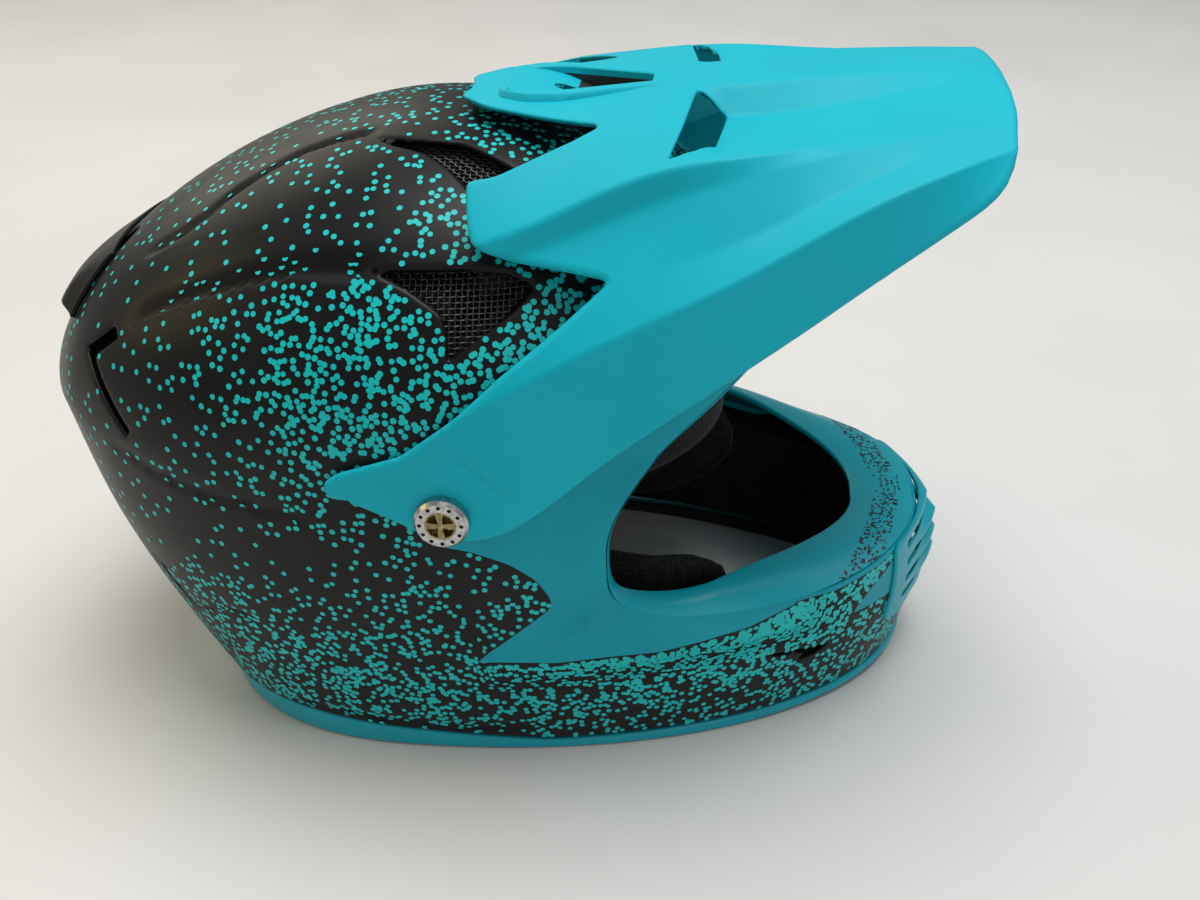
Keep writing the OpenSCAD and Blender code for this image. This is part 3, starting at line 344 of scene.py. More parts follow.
def grid_skin(grid, **values):
    """A skin over a grid of points, as yet neither lifted nor sunk unless values say so."""
    rows, cols = grid.shape[:2]
    flat = {"rise": np.zeros(rows * cols), "drop": np.zeros(rows * cols)}
    return Skin(grid.reshape(-1, 3), grid_triangles(rows, cols), normal=grid_normals(grid).reshape(-1, 3),
                **{**flat, **values})


def skin_points(skin):
    """Where the skin's points lie once it is lifted and sunk."""
    return skin["at"] + skin["normal"] * (skin["rise"] - skin["drop"])[:, None]


def mesh_object(name, points, faces, material, smooth=True, sharp=None):
    """A mesh object from points of the drawing and faces."""
    mesh = bpy.data.meshes.new(name)
    mesh.from_pydata(placed(points).tolist(), [], [list(map(int, f)) for f in faces])
    mesh.validate()
    obj = bpy.data.objects.new(name, mesh)
    bpy.context.scene.collection.objects.link(obj)
    if smooth:
        mesh.polygons.foreach_set("use_smooth", [True] * len(mesh.polygons))
    if sharp is not None:
        mesh.set_sharp_from_angle(angle=math.radians(sharp))
    mesh.materials.append(material)
    return obj


def bar(rows):
    """Points and faces of rings one after the other, closed at both ends."""
    rows = np.asarray(rows)
    m, n = rows.shape[:2]
    faces = [(j * n + i, (j + 1) * n + i, (j + 1) * n + (i + 1) % n, j * n + (i + 1) % n)
             for j in range(m - 1) for i in range(n)]
    return rows.reshape(-1, 3), faces + [tuple(range(n)), tuple((m - 1) * n + k for k in reversed(range(n)))]


def wire(route, radius, sides):
    """Points and faces of a round wire along a route."""
    route = np.asarray(route, float)
    ahead_of = np.roll(route, -1, axis=0) - np.roll(route, 1, axis=0)
    ahead_of[0], ahead_of[-1] = route[1] - route[0], route[-1] - route[-2]
    across = np.cross(unit(ahead_of), np.broadcast_to((0, 0, 1), route.shape))
    across /= np.maximum(np.linalg.norm(across, axis=1, keepdims=True), 1e-9)
    above = np.cross(across, unit(ahead_of))
    w = round_turn(sides)[None, :, None]
    return bar(route[:, None] + radius * (np.cos(w) * across[:, None] + np.sin(w) * above[:, None]))


def ring_faces(rows, cols):
    """Faces of a closed tube: rows of closed sections, the last row joined to the first."""
    return [(r * cols + c, (r + 1) % rows * cols + c, (r + 1) % rows * cols + (c + 1) % cols,
             r * cols + (c + 1) % cols) for r in range(rows) for c in range(cols)]


def facing_out(obj):
    """Turns all faces of a closed piece outward."""
    bm = bmesh.new()
    bm.from_mesh(obj.data)
    bmesh.ops.recalc_face_normals(bm, faces=bm.faces)
    bm.to_mesh(obj.data)
    bm.free()
    return obj


def ring_object(name, rows, material, sharp=None):
    """A closed tube of sections as an object."""
    rows = np.asarray(rows)
    return facing_out(mesh_object(name, rows.reshape(-1, 3), ring_faces(*rows.shape[:2]), material,
                                  sharp=sharp))


def joined(parts):
    """Several lots of points and faces as one."""
    points, faces, base = [], [], 0
    for p, f in parts:
        points.append(np.asarray(p, float))
        faces += [tuple(i + base for i in face) for face in f]
        base += len(p)
    return np.concatenate(points), faces


def mirrored(points, faces):
    """The same piece on the wearer's other side."""
    return np.asarray(points) * [-1, 1, 1], [tuple(reversed(f)) for f in faces]


def get_points(mesh):
    out = np.empty(len(mesh.vertices) * 3, np.float32)
    mesh.vertices.foreach_get("co", out)
    return out.reshape(-1, 3).astype(float)


def drawn_points(mesh):
    """A mesh's points in the drawing, in mm."""
    return get_points(mesh) / MM - [0, SHIFT_Y, 0]


def dress(obj, body, slot, *replaced):
    """A piece rides on its body and stands for CAD nodes, which it hides; its slot is not used."""
    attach(obj, body)
    if replaced:
        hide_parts(*replaced)
    return obj


# %% [markdown]
# ## Materials
# Every finish is a node material. `finish` makes the plain ones: a colour that varies a little, a
# roughness that varies a little, and a fine bump. Textures run in object coordinates, so one metre is
# one unit and a scale of 900 gives a grain of about a millimetre.
# %%


def new_material(name):
    mat = bpy.data.materials.new(name)
    mat.use_nodes = True
    nt = mat.node_tree
    return mat, nt, nt.nodes["Principled BSDF"]


def feed(nt, made, inputs):
    """Sets a node's inputs, each to a value or from another node's output."""
    for key, value in inputs.items():
        if isinstance(value, bpy.types.NodeSocket):
            nt.links.new(value, made.inputs[key])
        else:
            made.inputs[key].default_value = value


def node(nt, kind, inputs=None, **settings):
    made = nt.nodes.new(kind)
    for key, value in settings.items():
        setattr(made, key, value)
    feed(nt, made, inputs or {})
    return made


def texture(nt, kind, inputs, **settings):
    """A texture in object coordinates."""
    place = node(nt, "ShaderNodeTexCoord").outputs["Object"]
    return node(nt, f"ShaderNodeTex{kind}", {"Vector": place, **inputs}, **settings)


def noise(nt, scale, detail=3.0):
    return texture(nt, "Noise", {"Scale": scale, "Detail": detail}).outputs["Fac"]


def ramp(nt, value, start, end, low=0.0, high=1.0):
    """A value's range from start to end, spread from low to high and held at both."""
    return node(nt, "ShaderNodeMapRange", {"Value": value, "From Min": start, "From Max": end,
                                           "To Min": low, "To Max": high}).outputs[0]


def between(nt, value, low, high):
    """Spreads the middle of a texture's values over a range."""
    return ramp(nt, value, 0.3, 0.7, low, high)


def bump(nt, bsdf, height, strength, distance):
    made = node(nt, "ShaderNodeBump", {"Height": height, "Strength": strength, "Distance": distance})
    feed(nt, bsdf, {"Normal": made.outputs[0]})


def mixed(nt, factor, *colours):
    """One colour or the other, by a factor."""
    first, second = (c if isinstance(c, bpy.types.NodeSocket) else (*c, 1) for c in colours)
    return node(nt, "ShaderNodeMix", {0: factor, 6: first, 7: second}, data_type="RGBA").outputs[2]


def finish(name, low, high, rough, grain=900, wide=25, depth=0.00005, strength=0.4, metal=0.0, specular=0.5):
    """Two close colours that drift into each other, roughness from a pair, and a grain."""
    mat, nt, bsdf = new_material(name)
    feed(nt, bsdf, {"Base Color": mixed(nt, between(nt, noise(nt, wide), 0, 1), low, high),
                    "Roughness": between(nt, noise(nt, wide * 3), *rough),
                    "Metallic": metal, "Specular IOR Level": specular})
    bump(nt, bsdf, noise(nt, grain, 4), strength, depth)
    return mat


TURQUOISE = (0.001, 0.37, 0.46)
TURQUOISE_DEEP = (0.001, 0.31, 0.40)
PAINT_BLUR = 0.08                                      # half width of the edge of the paint, in mm

visor_finish = finish("visor_matte", (0.0005, 0.42, 0.53), (0.001, 0.45, 0.565), (0.5, 0.6), 1600, 18,
                      0.00006, 0.35, specular=0.22)
trim_finish = finish("trim_satin", (0.0005, 0.35, 0.44), (0.001, 0.38, 0.47), (0.3, 0.4), 1500, 20,
                     specular=0.4)
dot_finish = finish("dot_ink", (0.002, 0.50, 0.50), (0.004, 0.56, 0.54), (0.36, 0.46), 1200, 40,
                    specular=0.3)
screen_finish = finish("woven_wire", (0.01, 0.01, 0.011), (0.03, 0.03, 0.032), (0.22, 0.34), 700, 60)
# Black plastic; the same finish is also painted shade inside the visor's tab.
plastic_and_shade_finish = finish("black_plastic", (0.012, 0.012, 0.013), (0.02, 0.02, 0.021), (0.42, 0.55), 1800, 40)
rubber_finish = finish("washer_rubber", (0.01, 0.01, 0.01), (0.016, 0.016, 0.016), (0.6, 0.75), 1200, 50)
steel_finish = finish("brushed_steel", (0.48, 0.48, 0.47), (0.62, 0.61, 0.6), (0.2, 0.34), 2600, 120,
                      0.00002, 0.4, metal=1.0)
dark_steel_finish = finish("blackened_steel", (0.03, 0.03, 0.032), (0.06, 0.06, 0.062), (0.3, 0.45), 2200,
                           90, metal=0.9)


def shell_finish():
    """Matte black with the turquoise fields painted on, split along the zero line of `paint`."""
    mat, nt, bsdf = new_material("shell_paint")
    paint = node(nt, "ShaderNodeAttribute", attribute_name="paint").outputs["Fac"]
    drift = between(nt, noise(nt, 22), 0, 1)
    dark = mixed(nt, drift, (0.0055, 0.0058, 0.0066), (0.0095, 0.0098, 0.0106))
    bright = mixed(nt, drift, TURQUOISE_DEEP, TURQUOISE)
    feed(nt, bsdf, {"Base Color": mixed(nt, ramp(nt, paint, -PAINT_BLUR, PAINT_BLUR), dark, bright),
                    "Roughness": between(nt, noise(nt, 60), 0.34, 0.42), "Specular IOR Level": 0.18})
    bump(nt, bsdf, noise(nt, 1400, 4), 0.3, 0.00004)
    return mat


def bead_finish():
    """Moulded foam: pressed beads about 3 mm across."""
    mat, nt, bsdf = new_material("bead_foam")
    beads = texture(nt, "Voronoi", {"Scale": 330.0}).outputs["Distance"]
    colour = mixed(nt, between(nt, beads, 0, 1), (0.011, 0.011, 0.012), (0.006, 0.006, 0.007))
    feed(nt, bsdf, {"Base Color": colour, "Roughness": 0.75, "Specular IOR Level": 0.25})
    bump(nt, bsdf, beads, 0.5, 0.0003)
    return mat


def mesh_fabric(name, pitch, colour, thread):
    """Knitted spacer mesh: rows of small open cells with a soft sheen."""
    mat, nt, bsdf = new_material(name)
    cells = texture(nt, "Voronoi", {"Scale": 1 / pitch, "Randomness": 0.35}).outputs["Distance"]
    feed(nt, bsdf, {"Base Color": mixed(nt, between(nt, cells, 0, 1), colour, thread),
                    "Roughness": between(nt, noise(nt, 200), 0.72, 0.9),
                    "Sheen Weight": 0.06, "Specular IOR Level": 0.2})
    bump(nt, bsdf, cells, 0.9, 0.0005)
    return mat


def webbing_finish():
    """Woven strap: ribs along its length and fine picks across."""
    mat, nt, bsdf = new_material("woven_strap")
    ribs, picks = (texture(nt, "Wave", {"Scale": scale, "Distortion": bend},
                           bands_direction=way).outputs["Fac"]
                   for scale, bend, way in ((95.0, 0.4, "Y"), (260.0, 0.6, "Z")))
    weave = node(nt, "ShaderNodeMath", {0: ribs, 1: picks}, operation="ADD").outputs[0]
    colour = mixed(nt, between(nt, ribs, 0, 1), (0.01, 0.01, 0.011), (0.028, 0.028, 0.03))
    feed(nt, bsdf, {"Base Color": colour, "Roughness": between(nt, noise(nt, 300), 0.6, 0.8)})
    bump(nt, bsdf, weave, 0.6, 0.0002)
    return mat


shell_paint = shell_finish()
bead_foam = bead_finish()
pad_fabric = mesh_fabric("pad_mesh", 0.0022, (0.006, 0.006, 0.007), (0.022, 0.022, 0.023))
liner_fabric = mesh_fabric("liner_knit", 0.0016, (0.006, 0.006, 0.007), (0.016, 0.016, 0.017))
strap_fabric = webbing_finish()
print("materials:", len(bpy.data.materials))

# %% [markdown]
# ## Shell: a fine grid over the form
# The rings of the grid are spaced evenly along each level, so that the distance round from the middle
# of the face can serve as a flat coordinate in which the eye port is drawn.
# %%
COLUMNS, LEVEL_STEP = 420, 2.5
DOME_RINGS, DOME_TOP, DOME_POWER = 66, 88.8, 0.93


def ring_angles(z, count=1441):
    """Angles and lengths round one level, from straight ahead."""
    angles = np.linspace(0, 360, count)
    return angles, walked(form_point(z, angles))


def shell_grid():
    theta = np.radians(np.linspace(0, DOME_TOP, DOME_RINGS))
    levels = np.concatenate([np.arange(-1, BROW_Z - 1, LEVEL_STEP),
                             BROW_Z + (SHELL_H - BROW_Z) * np.sin(theta) ** DOME_POWER])
    points, around_face = [], []
    for z in levels:
        angles, lengths = ring_angles(z)
        along = np.linspace(0, lengths[-1], COLUMNS, endpoint=False)
        points.append(form_point(z, np.interp(along, lengths, angles)))
        around_face.append(np.minimum(along, lengths[-1] - along))
    grid = np.array(points)
    round_it = np.roll(grid, -1, axis=1) - np.roll(grid, 1, axis=1)
    up_it = np.gradient(grid, axis=0)
    normal = unit(np.cross(round_it, up_it))
    rows = len(levels)
    points = np.concatenate([grid.reshape(-1, 3), [[0, CROWN_Y, SHELL_H]]])
    normal = np.concatenate([normal.reshape(-1, 3), [[0, 0, 1]]])
    around_face = np.concatenate([np.array(around_face).ravel(), [0]])
    triangles = grid_triangles(rows, COLUMNS, closed=True)
    k = np.arange(COLUMNS)
    cap = np.stack([(rows - 1) * COLUMNS + k, (rows - 1) * COLUMNS + (k + 1) % COLUMNS,
                    np.full(COLUMNS, rows * COLUMNS)], 1)
    zero = np.zeros(len(points))
    return Skin(points, np.concatenate([triangles, cap]), normal=normal, around=around_face,
                rise=zero, drop=zero.copy())


# %% [markdown]
# ### Creases, grooves and small facets
# Each line is drawn once, for x above zero, and read on both sides. The first number of `reach` is how
# far its slope spreads above the line, the second how far below.
# %%
CREASES = [
    # points along the line, depth, reach
    ([(96, 20, 221), (94, 38, 222), (93, 55, 221), (92, 71, 217), (91, 87, 213), (89, 103, 207),
      (86, 117, 201), (86, 128, 194)], 3.6, (12, 2.2)),
    ([(34, 30, 256), (35, 47, 253), (38, 61, 249), (44, 74, 245), (50, 86, 238), (58, 97, 232),
      (62, 109, 224), (60, 129, 214)], 3.4, (9, 2.0)),
    ([(74, 61, 235), (74, 80, 230), (67, 105, 223), (64, 131, 211)], 0.7, (1.6, 6)),
    ([(92, 147, 144), (98, 136, 143), (102, 125, 139), (107, 112, 136), (112, 95, 133), (115, 81, 132),
      (118, 66, 130), (119, 51, 127)], 1.3, (1.8, 10)),
    ([(81, 142, 87), (85, 126, 63), (101, 101, 71), (105, 84, 67)], 0.9, (2, 7)),
    ([(87, 94, 15), (96, 72, 16), (101, 44, 14), (101, 19, 12), (100, -6, 12), (97, -32, 12)], 1.1, (1.6, 8)),
]
CHIN_CREASE = [(107, 0, 36), (104, -34, 38), (100, -62, 41), (92, -95, 44), (80, -127, 46), (68, -148, 47)]
CHIN_TUCK, TUCK_START, TUCK_REACH, TUCK_FADE = 1.5, 9, 70, 30
FADE_IN, FADE_OUT = 10, 14
WEDGE_EDGE = 1.6
WEDGES = [([(-26, 63), (-53, 84.5), (-43, 69.5)], 1.5), ([(-38, 70), (-54, 86), (-45, 69.5)], 1.3)]


def beside(points, normals, line):
    """Distance to a polyline, above zero on its upper side, and a fade towards both its ends."""
    line = np.asarray(line, float)
    best = np.full(len(points), np.inf)
    side, along = np.zeros(len(points)), np.zeros(len(points))
    passed = 0.0
    for a, b in zip(line[:-1], line[1:]):
        step = b - a
        length = np.linalg.norm(step)
        t = np.clip(((points - a) @ step) / length**2, 0, 1)
        off = points - a - t[:, None] * step
        gap = np.linalg.norm(off, axis=1)
        above = np.sum(off * np.cross(normals, step / length), axis=1)
        nearer = gap < best
        best = np.where(nearer, gap, best)
        side = np.where(nearer, above, side)
        along = np.where(nearer, passed + t * length, along)
        passed += length
    fade = ease(along / FADE_IN) * ease((passed - along) / FADE_OUT)
    return np.where(side >= 0, best, -best), fade


def left_half(skin):
    """Points and normals as if all lay on the wearer's left, where x is above zero."""
    flip = np.where(skin["at"][:, :1] < 0, [-1.0, 1, 1], [1.0, 1, 1])
    return skin["at"] * flip, skin["normal"] * flip


def shape_shell(skin):
    """Sets the rise of each point from the creases, the chin's tuck and the wedges beside the port."""
    points, normals = left_half(skin)
    rise = np.zeros(len(points))
    for line, depth, (above, below) in CREASES:
        s, fade = beside(points, normals, line)
        slope = np.where(s >= 0, 1 - ease(s / above), 1 - ease(-s / below))
        rise -= depth * slope * fade
    s, fade = beside(points, normals, CHIN_CREASE)
    under = ease(-s / TUCK_START) * ease((TUCK_REACH + s) / TUCK_FADE) * np.where(s < 0, 1, 0)
    rise -= CHIN_TUCK * under * fade * ease((points[:, 2] - 4) / 10)
    for outline, height in WEDGES:
        inside = outline_distance(points[:, 1:], outline)
        rise += height * ease(0.5 + inside / WEDGE_EDGE) * (points[:, 0] > 90)
    skin.values["rise"] = rise


shell = shell_grid()
shape_shell(shell)
print("shell grid:", len(shell["at"]), "points")

# %% [markdown]
# ### Openings
# The outlines are those of the solid shell: eye port, lower edge, four upper vents, two rear slots, two
# slits in the chin bar, the mouth, the screw holes and the exhaust. Each is a field: how far inside the
# opening a point lies, in mm, and below zero outside it. The rear slots are narrow, so the mesh is cut
# along the middle of both their legs first.
# %%
PORT_SIDE_Z, PORT_FRONT_Z, PORT_TOP_Z, PORT_BACK = 59.0, 77.0, 174.0, 57.0
PORT_STEPS, PORT_SQUARE, PORT_SIDE_DROP = 36, 0.62, 20
TOP_VENT = [(37, 31), (40, 12), (41, -2), (48, -16), (58, -34), (72, -30), (68, -11), (62, -6), (54, 2),
            (47, 11), (42, 24)]
SIDE_VENT = [(24, 221), (-9, 221), (-24, 219), (-34, 215), (-28, 209), (-15, 201), (-4, 194), (-4, 201),
             (-2, 208), (2, 211), (11, 216)]
REAR_VENT = [(133, 191), (150, 179), (129, 153), (127, 155.5), (144, 177.8), (141.5, 180.3), (130.5, 188)]
CHIN_SLIT = [(-115.5, 43.2), (-130, 41.6), (-148.5, 38.2), (-141, 34), (-134, 33.5), (-137.5, 38)]
SHELL_EDGE = np.array([[-210, 10], [-150, 6], [-28, 4], [20, 8.5], [76, 13], [220, 15]], float)
FOOT_EDGE = np.array([[-210, 7], [-160, 2.5], [-110, 0], [100, 0], [160, 3], [220, 5]], float)
MOUTH_HALF, MOUTH_LOW, MOUTH_HIGH = 40.0, 38.0, 70.0
HINGE_Y, HINGE_Z = 1.0, 136.0
CENTRE_ANGLE = math.radians(23.5)
SCREW_HOLE = 5.4
EXHAUST_X, EXHAUST_R, EXHAUST_Y = 24, 7, (148, 158)
VENT_LINES = [((150, 181.2), (126.2, 152)), ((128, 192.4), (152, 175.3))]
OUTSIDE = -50.0


def port_place(i):
    """Place i of the port's outline, from 0 to 36, as height and angle from straight ahead."""
    a = np.asarray(i, float) * 2 * math.pi / PORT_STEPS
    side, up = signed_power(np.cos(a), PORT_SQUARE), signed_power(np.sin(a), PORT_SQUARE)
    low = PORT_FRONT_Z + (PORT_SIDE_Z - PORT_FRONT_Z) * np.abs(side) ** 1.5
    high = PORT_TOP_Z - PORT_SIDE_DROP * np.abs(side) ** 3
    z = (high + low) / 2 + up * ((high - low) / 2)
    back = np.clip((PORT_BACK + CROWN_Y) / (front_at(z) + CROWN_Y), 0.05, 0.99)
    return z, side * np.degrees(np.arccos(back ** (front_round(z) / 2)))


def port_in_plan(steps=144):
    """The port's outline as distances round the face and heights."""
    outline = []
    for z, angle in zip(*port_place(np.arange(steps) * PORT_STEPS / steps)):
        angles, lengths = ring_angles(z)
        outline.append((np.sign(angle) * np.interp(abs(angle), angles, lengths), z))
    return np.array(outline)


PORT_OUTLINE = port_in_plan()


def in_port(skin):
    near = skin["at"][:, 1] < 0
    field = np.full(len(near), OUTSIDE)
    plan = np.stack([skin["around"], skin["at"][:, 2]], 1)
    field[near] = outline_distance(plan[near], PORT_OUTLINE)
    return field


def drawn_opening(outline, radius, plan_of, room_of):
    """An opening with a rounded outline in the plane that plan_of gives, where room_of is above zero."""
    outline = rounded(outline, radius)
    return lambda skin: np.minimum(outline_distance(plan_of(skin["at"]), outline), room_of(skin["at"]))


def seen_from_side(outline, radius, least_x=60):
    """An opening whose outline is drawn in y and z, on both sides of the shell."""
    return drawn_opening(outline, radius, lambda at: at[:, 1:], lambda at: np.abs(at[:, 0]) - least_x)


def beside_line(start, end):
    """How far points lie to one side of a line in the side view, to cut the mesh along the line."""
    run = np.subtract(end, start) / np.hypot(*np.subtract(end, start))
    return lambda skin: (skin["at"][:, 1] - start[0]) * run[1] - (skin["at"][:, 2] - start[1]) * run[0]


def seen_from_above(outline, radius, least_z=BROW_Z):
    """An opening whose outline is drawn in x and y, for x above zero, and read on both sides."""
    return drawn_opening(outline, radius, lambda at: np.stack([np.abs(at[:, 0]), at[:, 1]], 1),
                         lambda at: at[:, 2] - least_z)


def below_edge(skin):
    at = skin["at"]
    return np.interp(at[:, 1], *SHELL_EDGE.T) - at[:, 2]


def in_mouth(skin):
    at = skin["at"]
    across = MOUTH_HALF - np.abs(at[:, 0])
    tall = np.minimum(at[:, 2] - MOUTH_LOW, MOUTH_HIGH - at[:, 2])
    return np.minimum(np.minimum(across, tall), -100 - at[:, 1])


def in_side_hole(skin):
    at = skin["at"]
    gap = np.hypot(at[:, 1] - HINGE_Y, at[:, 2] - HINGE_Z)
    return np.minimum(SCREW_HOLE - gap, np.abs(at[:, 0]) - 60)


def in_centre_hole(skin):
    at = skin["at"] - [0, HINGE_Y, HINGE_Z]
    line = np.array([0, -math.sin(CENTRE_ANGLE), math.cos(CENTRE_ANGLE)])
    gap = np.linalg.norm(np.cross(at, line), axis=1)
    return np.where(at @ line > 0, SCREW_HOLE - gap, OUTSIDE)


def in_exhaust(skin):
    at = skin["at"]
    gap = np.hypot(np.abs(at[:, 0]) - EXHAUST_X, at[:, 1] - np.clip(at[:, 1], *EXHAUST_Y))
    return np.minimum(EXHAUST_R - gap, at[:, 2] - BROW_Z)


shell.open(in_port, 1.0, 0.3)
shell.open(below_edge, 1.4, 0.7)
shell.open(seen_from_above(TOP_VENT, 1.5), 1.6, 0.9)
shell.open(seen_from_side(SIDE_VENT, 1.2), 1.6, 0.9)
for line in VENT_LINES:
    shell.split(beside_line(*line), keep_all=True)
shell.open(seen_from_side(REAR_VENT, 1.0), 1.3, 0.7)
shell.open(seen_from_side(CHIN_SLIT, 0.6, 50), 0.9, 0.5)
shell.open(in_mouth, 1.0, 0.3)
shell.open(in_side_hole, 0.8, 0.3)
shell.open(in_centre_hole, 0.8, 0.3)
shell.open(in_exhaust, 1.0, 0.4)
print("shell with its openings:", len(shell.triangles), "triangles")

# %% [markdown]
# ### Painted fields
# The side field's outline is set in the photograph's pixels. A margin round the port and a panel over
# the mouth are set on the form. Above zero the paint is turquoise, below zero black, in mm.
# %%
PX_PER_MM = 2.4
SIDE_FIELD_PX = [(430, 545), (470, 552), (510, 565), (535, 580), (548, 596), (553, 608), (540, 620),
                 (508, 643), (475, 665), (557, 666), (607, 660), (660, 655), (700, 645), (750, 630),
                 (800, 605), (800, 540), (700, 470), (660, 400), (610, 430), (560, 490), (520, 520),
                 (480, 532), (440, 534)]
MOUTH_PANEL = [(64, 51), (57, 61), (48, 66.5), (36, 70), (0, 72.5), (-20, 72.5), (-20, 49), (40, 49.5)]
PORT_MARGIN_LOW, PORT_MARGIN_HIGH, MARGIN_FROM_Z, MARGIN_RUN = 2.5, 13.0, 95, 25


def near_side(points):
    """Points moved to the photographed side."""
    points = np.array(points, float)
    points[:, 0] = -np.abs(points[:, 0])
    return points


def paint_of(skin):
    at = near_side(skin["at"])
    side = outline_distance(pixel(at), rounded(SIDE_FIELD_PX, 6)) / PX_PER_MM
    side = np.where(at[:, 1] < 60, side, OUTSIDE)
    margin = PORT_MARGIN_LOW + (PORT_MARGIN_HIGH - PORT_MARGIN_LOW) * ease(
        (at[:, 2] - MARGIN_FROM_Z) / MARGIN_RUN)
    port = margin + in_port(skin)
    panel = outline_distance(np.stack([-at[:, 0], at[:, 2]], 1), rounded(MOUTH_PANEL, 3))
    panel = np.where(at[:, 1] < -100, panel, OUTSIDE)
    return np.maximum(np.maximum(side, port), panel)


shell.values["paint"] = paint_of(shell)


def skin_object(name, skin, material, wall):
    """The skin as an object with a wall inside it, and its paint if it has any."""
    obj = mesh_object(name, skin_points(skin), skin.triangles, material)
    if "paint" in skin.values:
        layer = obj.data.attributes.new("paint", "FLOAT", "POINT")
        layer.data.foreach_set("value", skin["paint"].astype(np.float32))
    thick = obj.modifiers.new("wall", "SOLIDIFY")
    thick.thickness = wall * MM
    thick.offset = -1
    return obj


shell_obj = dress(skin_object("shell_skin", shell, shell_paint, WALL), "helmet", "shell", "outer_shell")
print("shell skin:", len(shell_obj.data.polygons), "faces")

# %% [markdown]
# ## Rolled rim round the eye port
# The rim starts at the shell's edge, leans into the port, and hooks behind the shell. Its section is
# drawn as depth below the shell's face and distance out of the port, with the bends rounded.
# %%
RIM_DEPTH, RIM_DEPTH_FRONT, RIM_RISE, RIM_WALL, RIM_BACK_SHARE = 12.0, 28.0, 12.0, 3.0, 0.5
TUCK = WALL + 1.3
RIM_SEAM = 0.5
RIM_STEP = 0.16                                        # in the same steps as the port's outline


def port_point(i):
    return form_point(*port_place(i))


def port_axes(i):
    """The way the shell faces at place i of the port, and the way across its face out of the port."""
    z, angle = port_place(i)
    round_it = form_point(z, angle + 1) - form_point(z, angle - 1)
    up_it = form_point(z + 1, angle) - form_point(z - 1, angle)
    facing = unit(np.cross(round_it, up_it))
    return facing, unit(np.cross(port_point(i + 1) - port_point(i - 1), facing))


def rim_lean(i):
    """How deep the rim leans in and how far it stands off: deepest in front, least at the back."""
    a = i * 2 * math.pi / PORT_STEPS
    low = np.maximum(0, -np.sin(a))
    front, side = np.clip((low - 0.7) / 0.3, 0, 1), np.clip(low / 0.7, 0, 1)
    back = ease((np.abs(np.cos(a)) - 0.5) / 0.35)
    return (RIM_DEPTH * (0.5 + 0.5 * side) + (RIM_DEPTH_FRONT - RIM_DEPTH) * front,
            RIM_RISE * (0.35 + 0.65 * side - 0.5 * front) * (1 + (RIM_BACK_SHARE - 1) * back))


def bent(corners, rows, radii, steps=5):
    """Sections, one per row, from corners (depth, out) that are numbers or vary by row, each rounded."""
    corners = np.stack([np.stack(np.broadcast_arrays(*corner, np.zeros(rows))[:2], 1) for corner in corners],
                       axis=1)
    out = []
    count = corners.shape[1]
    for k, radius in enumerate(radii):
        here = corners[:, k]
        if not radius:
            out.append(here[:, None])
            continue
        to_a, to_b = corners[:, k - 1] - here, corners[:, (k + 1) % count] - here
        len_a, len_b = (np.linalg.norm(v, axis=1, keepdims=True) for v in (to_a, to_b))
        cut = np.minimum(radius, MAX_CUT * np.minimum(len_a, len_b))
        a, b = here + to_a / len_a * cut, here + to_b / len_b * cut
        t = np.linspace(0, 1, steps)[None, :, None]
        out.append((1 - t) ** 2 * a[:, None] + 2 * t * (1 - t) * here[:, None] + t**2 * b[:, None])
    return np.concatenate(out, axis=1)


def port_trim():
    i = np.arange(0, PORT_STEPS, RIM_STEP)
    depth, rise = rim_lean(i)
    size = np.hypot(depth, rise)
    section = bent([(0.3, -RIM_SEAM), (0.4 * depth, -0.75 * rise), (depth, -rise),
                    (depth + RIM_WALL * rise / size, -rise + RIM_WALL * depth / size),
                    (TUCK + RIM_WALL, RIM_WALL), (TUCK, RIM_WALL), (TUCK, -RIM_SEAM)], len(i),
                   (0.5, 6, 1.4, 1.4, 0, 0, 0))
    facing, away = port_axes(i)
    points = (port_point(i)[:, None] - section[..., :1] * facing[:, None]
              + section[..., 1:] * away[:, None])
    return ring_object("port_rim", points, trim_finish, 50)


dress(port_trim(), "helmet", "trim", "port_trim")

# %% [markdown]
# ## Moulding round the neck opening
# %%
TRIM_FLARE, TRIM_WIDTH, TRIM_TALL, TRIM_GAP, TRIM_Z = 2.0, 9.0, 10.0, 0.6, 6.0
DARK_FROM = 2.5                                        # its faces deeper than this are black, in mm


def dark_where(obj, faces):
    """Gives the chosen faces of a piece the black finish; on the visor's tab these faces are painted shade.
    """
    obj.data.materials.append(plastic_and_shade_finish)
    obj.data.polygons.foreach_set("material_index", np.asarray(faces, np.int32))
    return obj


def base_trim():
    angles = np.arange(0, 360, 1.5)
    section = bent([(-TRIM_FLARE, 0), (-0.4, 0.8 * TRIM_TALL), (0.7, TRIM_TALL),
                    (TRIM_WIDTH * 0.7, TRIM_TALL), (TRIM_WIDTH, 0)], len(angles), (1.6, 2.5, 0.9, 0.9, 1.5))
    rows, cols = section.shape[:2]
    depth, share = section[..., 0], section[..., 1] / TRIM_TALL
    angle = np.broadcast_to(angles[:, None], depth.shape)
    y = form_point(TRIM_Z, angle, depth)[..., 1]
    foot, top = np.interp(y, *FOOT_EDGE.T), np.interp(y, *SHELL_EDGE.T) - TRIM_GAP
    points = form_point(foot + (top - foot) * share, angle, depth)
    place = np.arange(rows * cols) % cols
    return dark_where(ring_object("neck_moulding", points, trim_finish, 50),
                      (depth[0][place] > DARK_FROM) & (depth[0][(place + 1) % cols] > DARK_FROM))


dress(base_trim(), "helmet", "trim", "base_trim")
print("rim and moulding made")

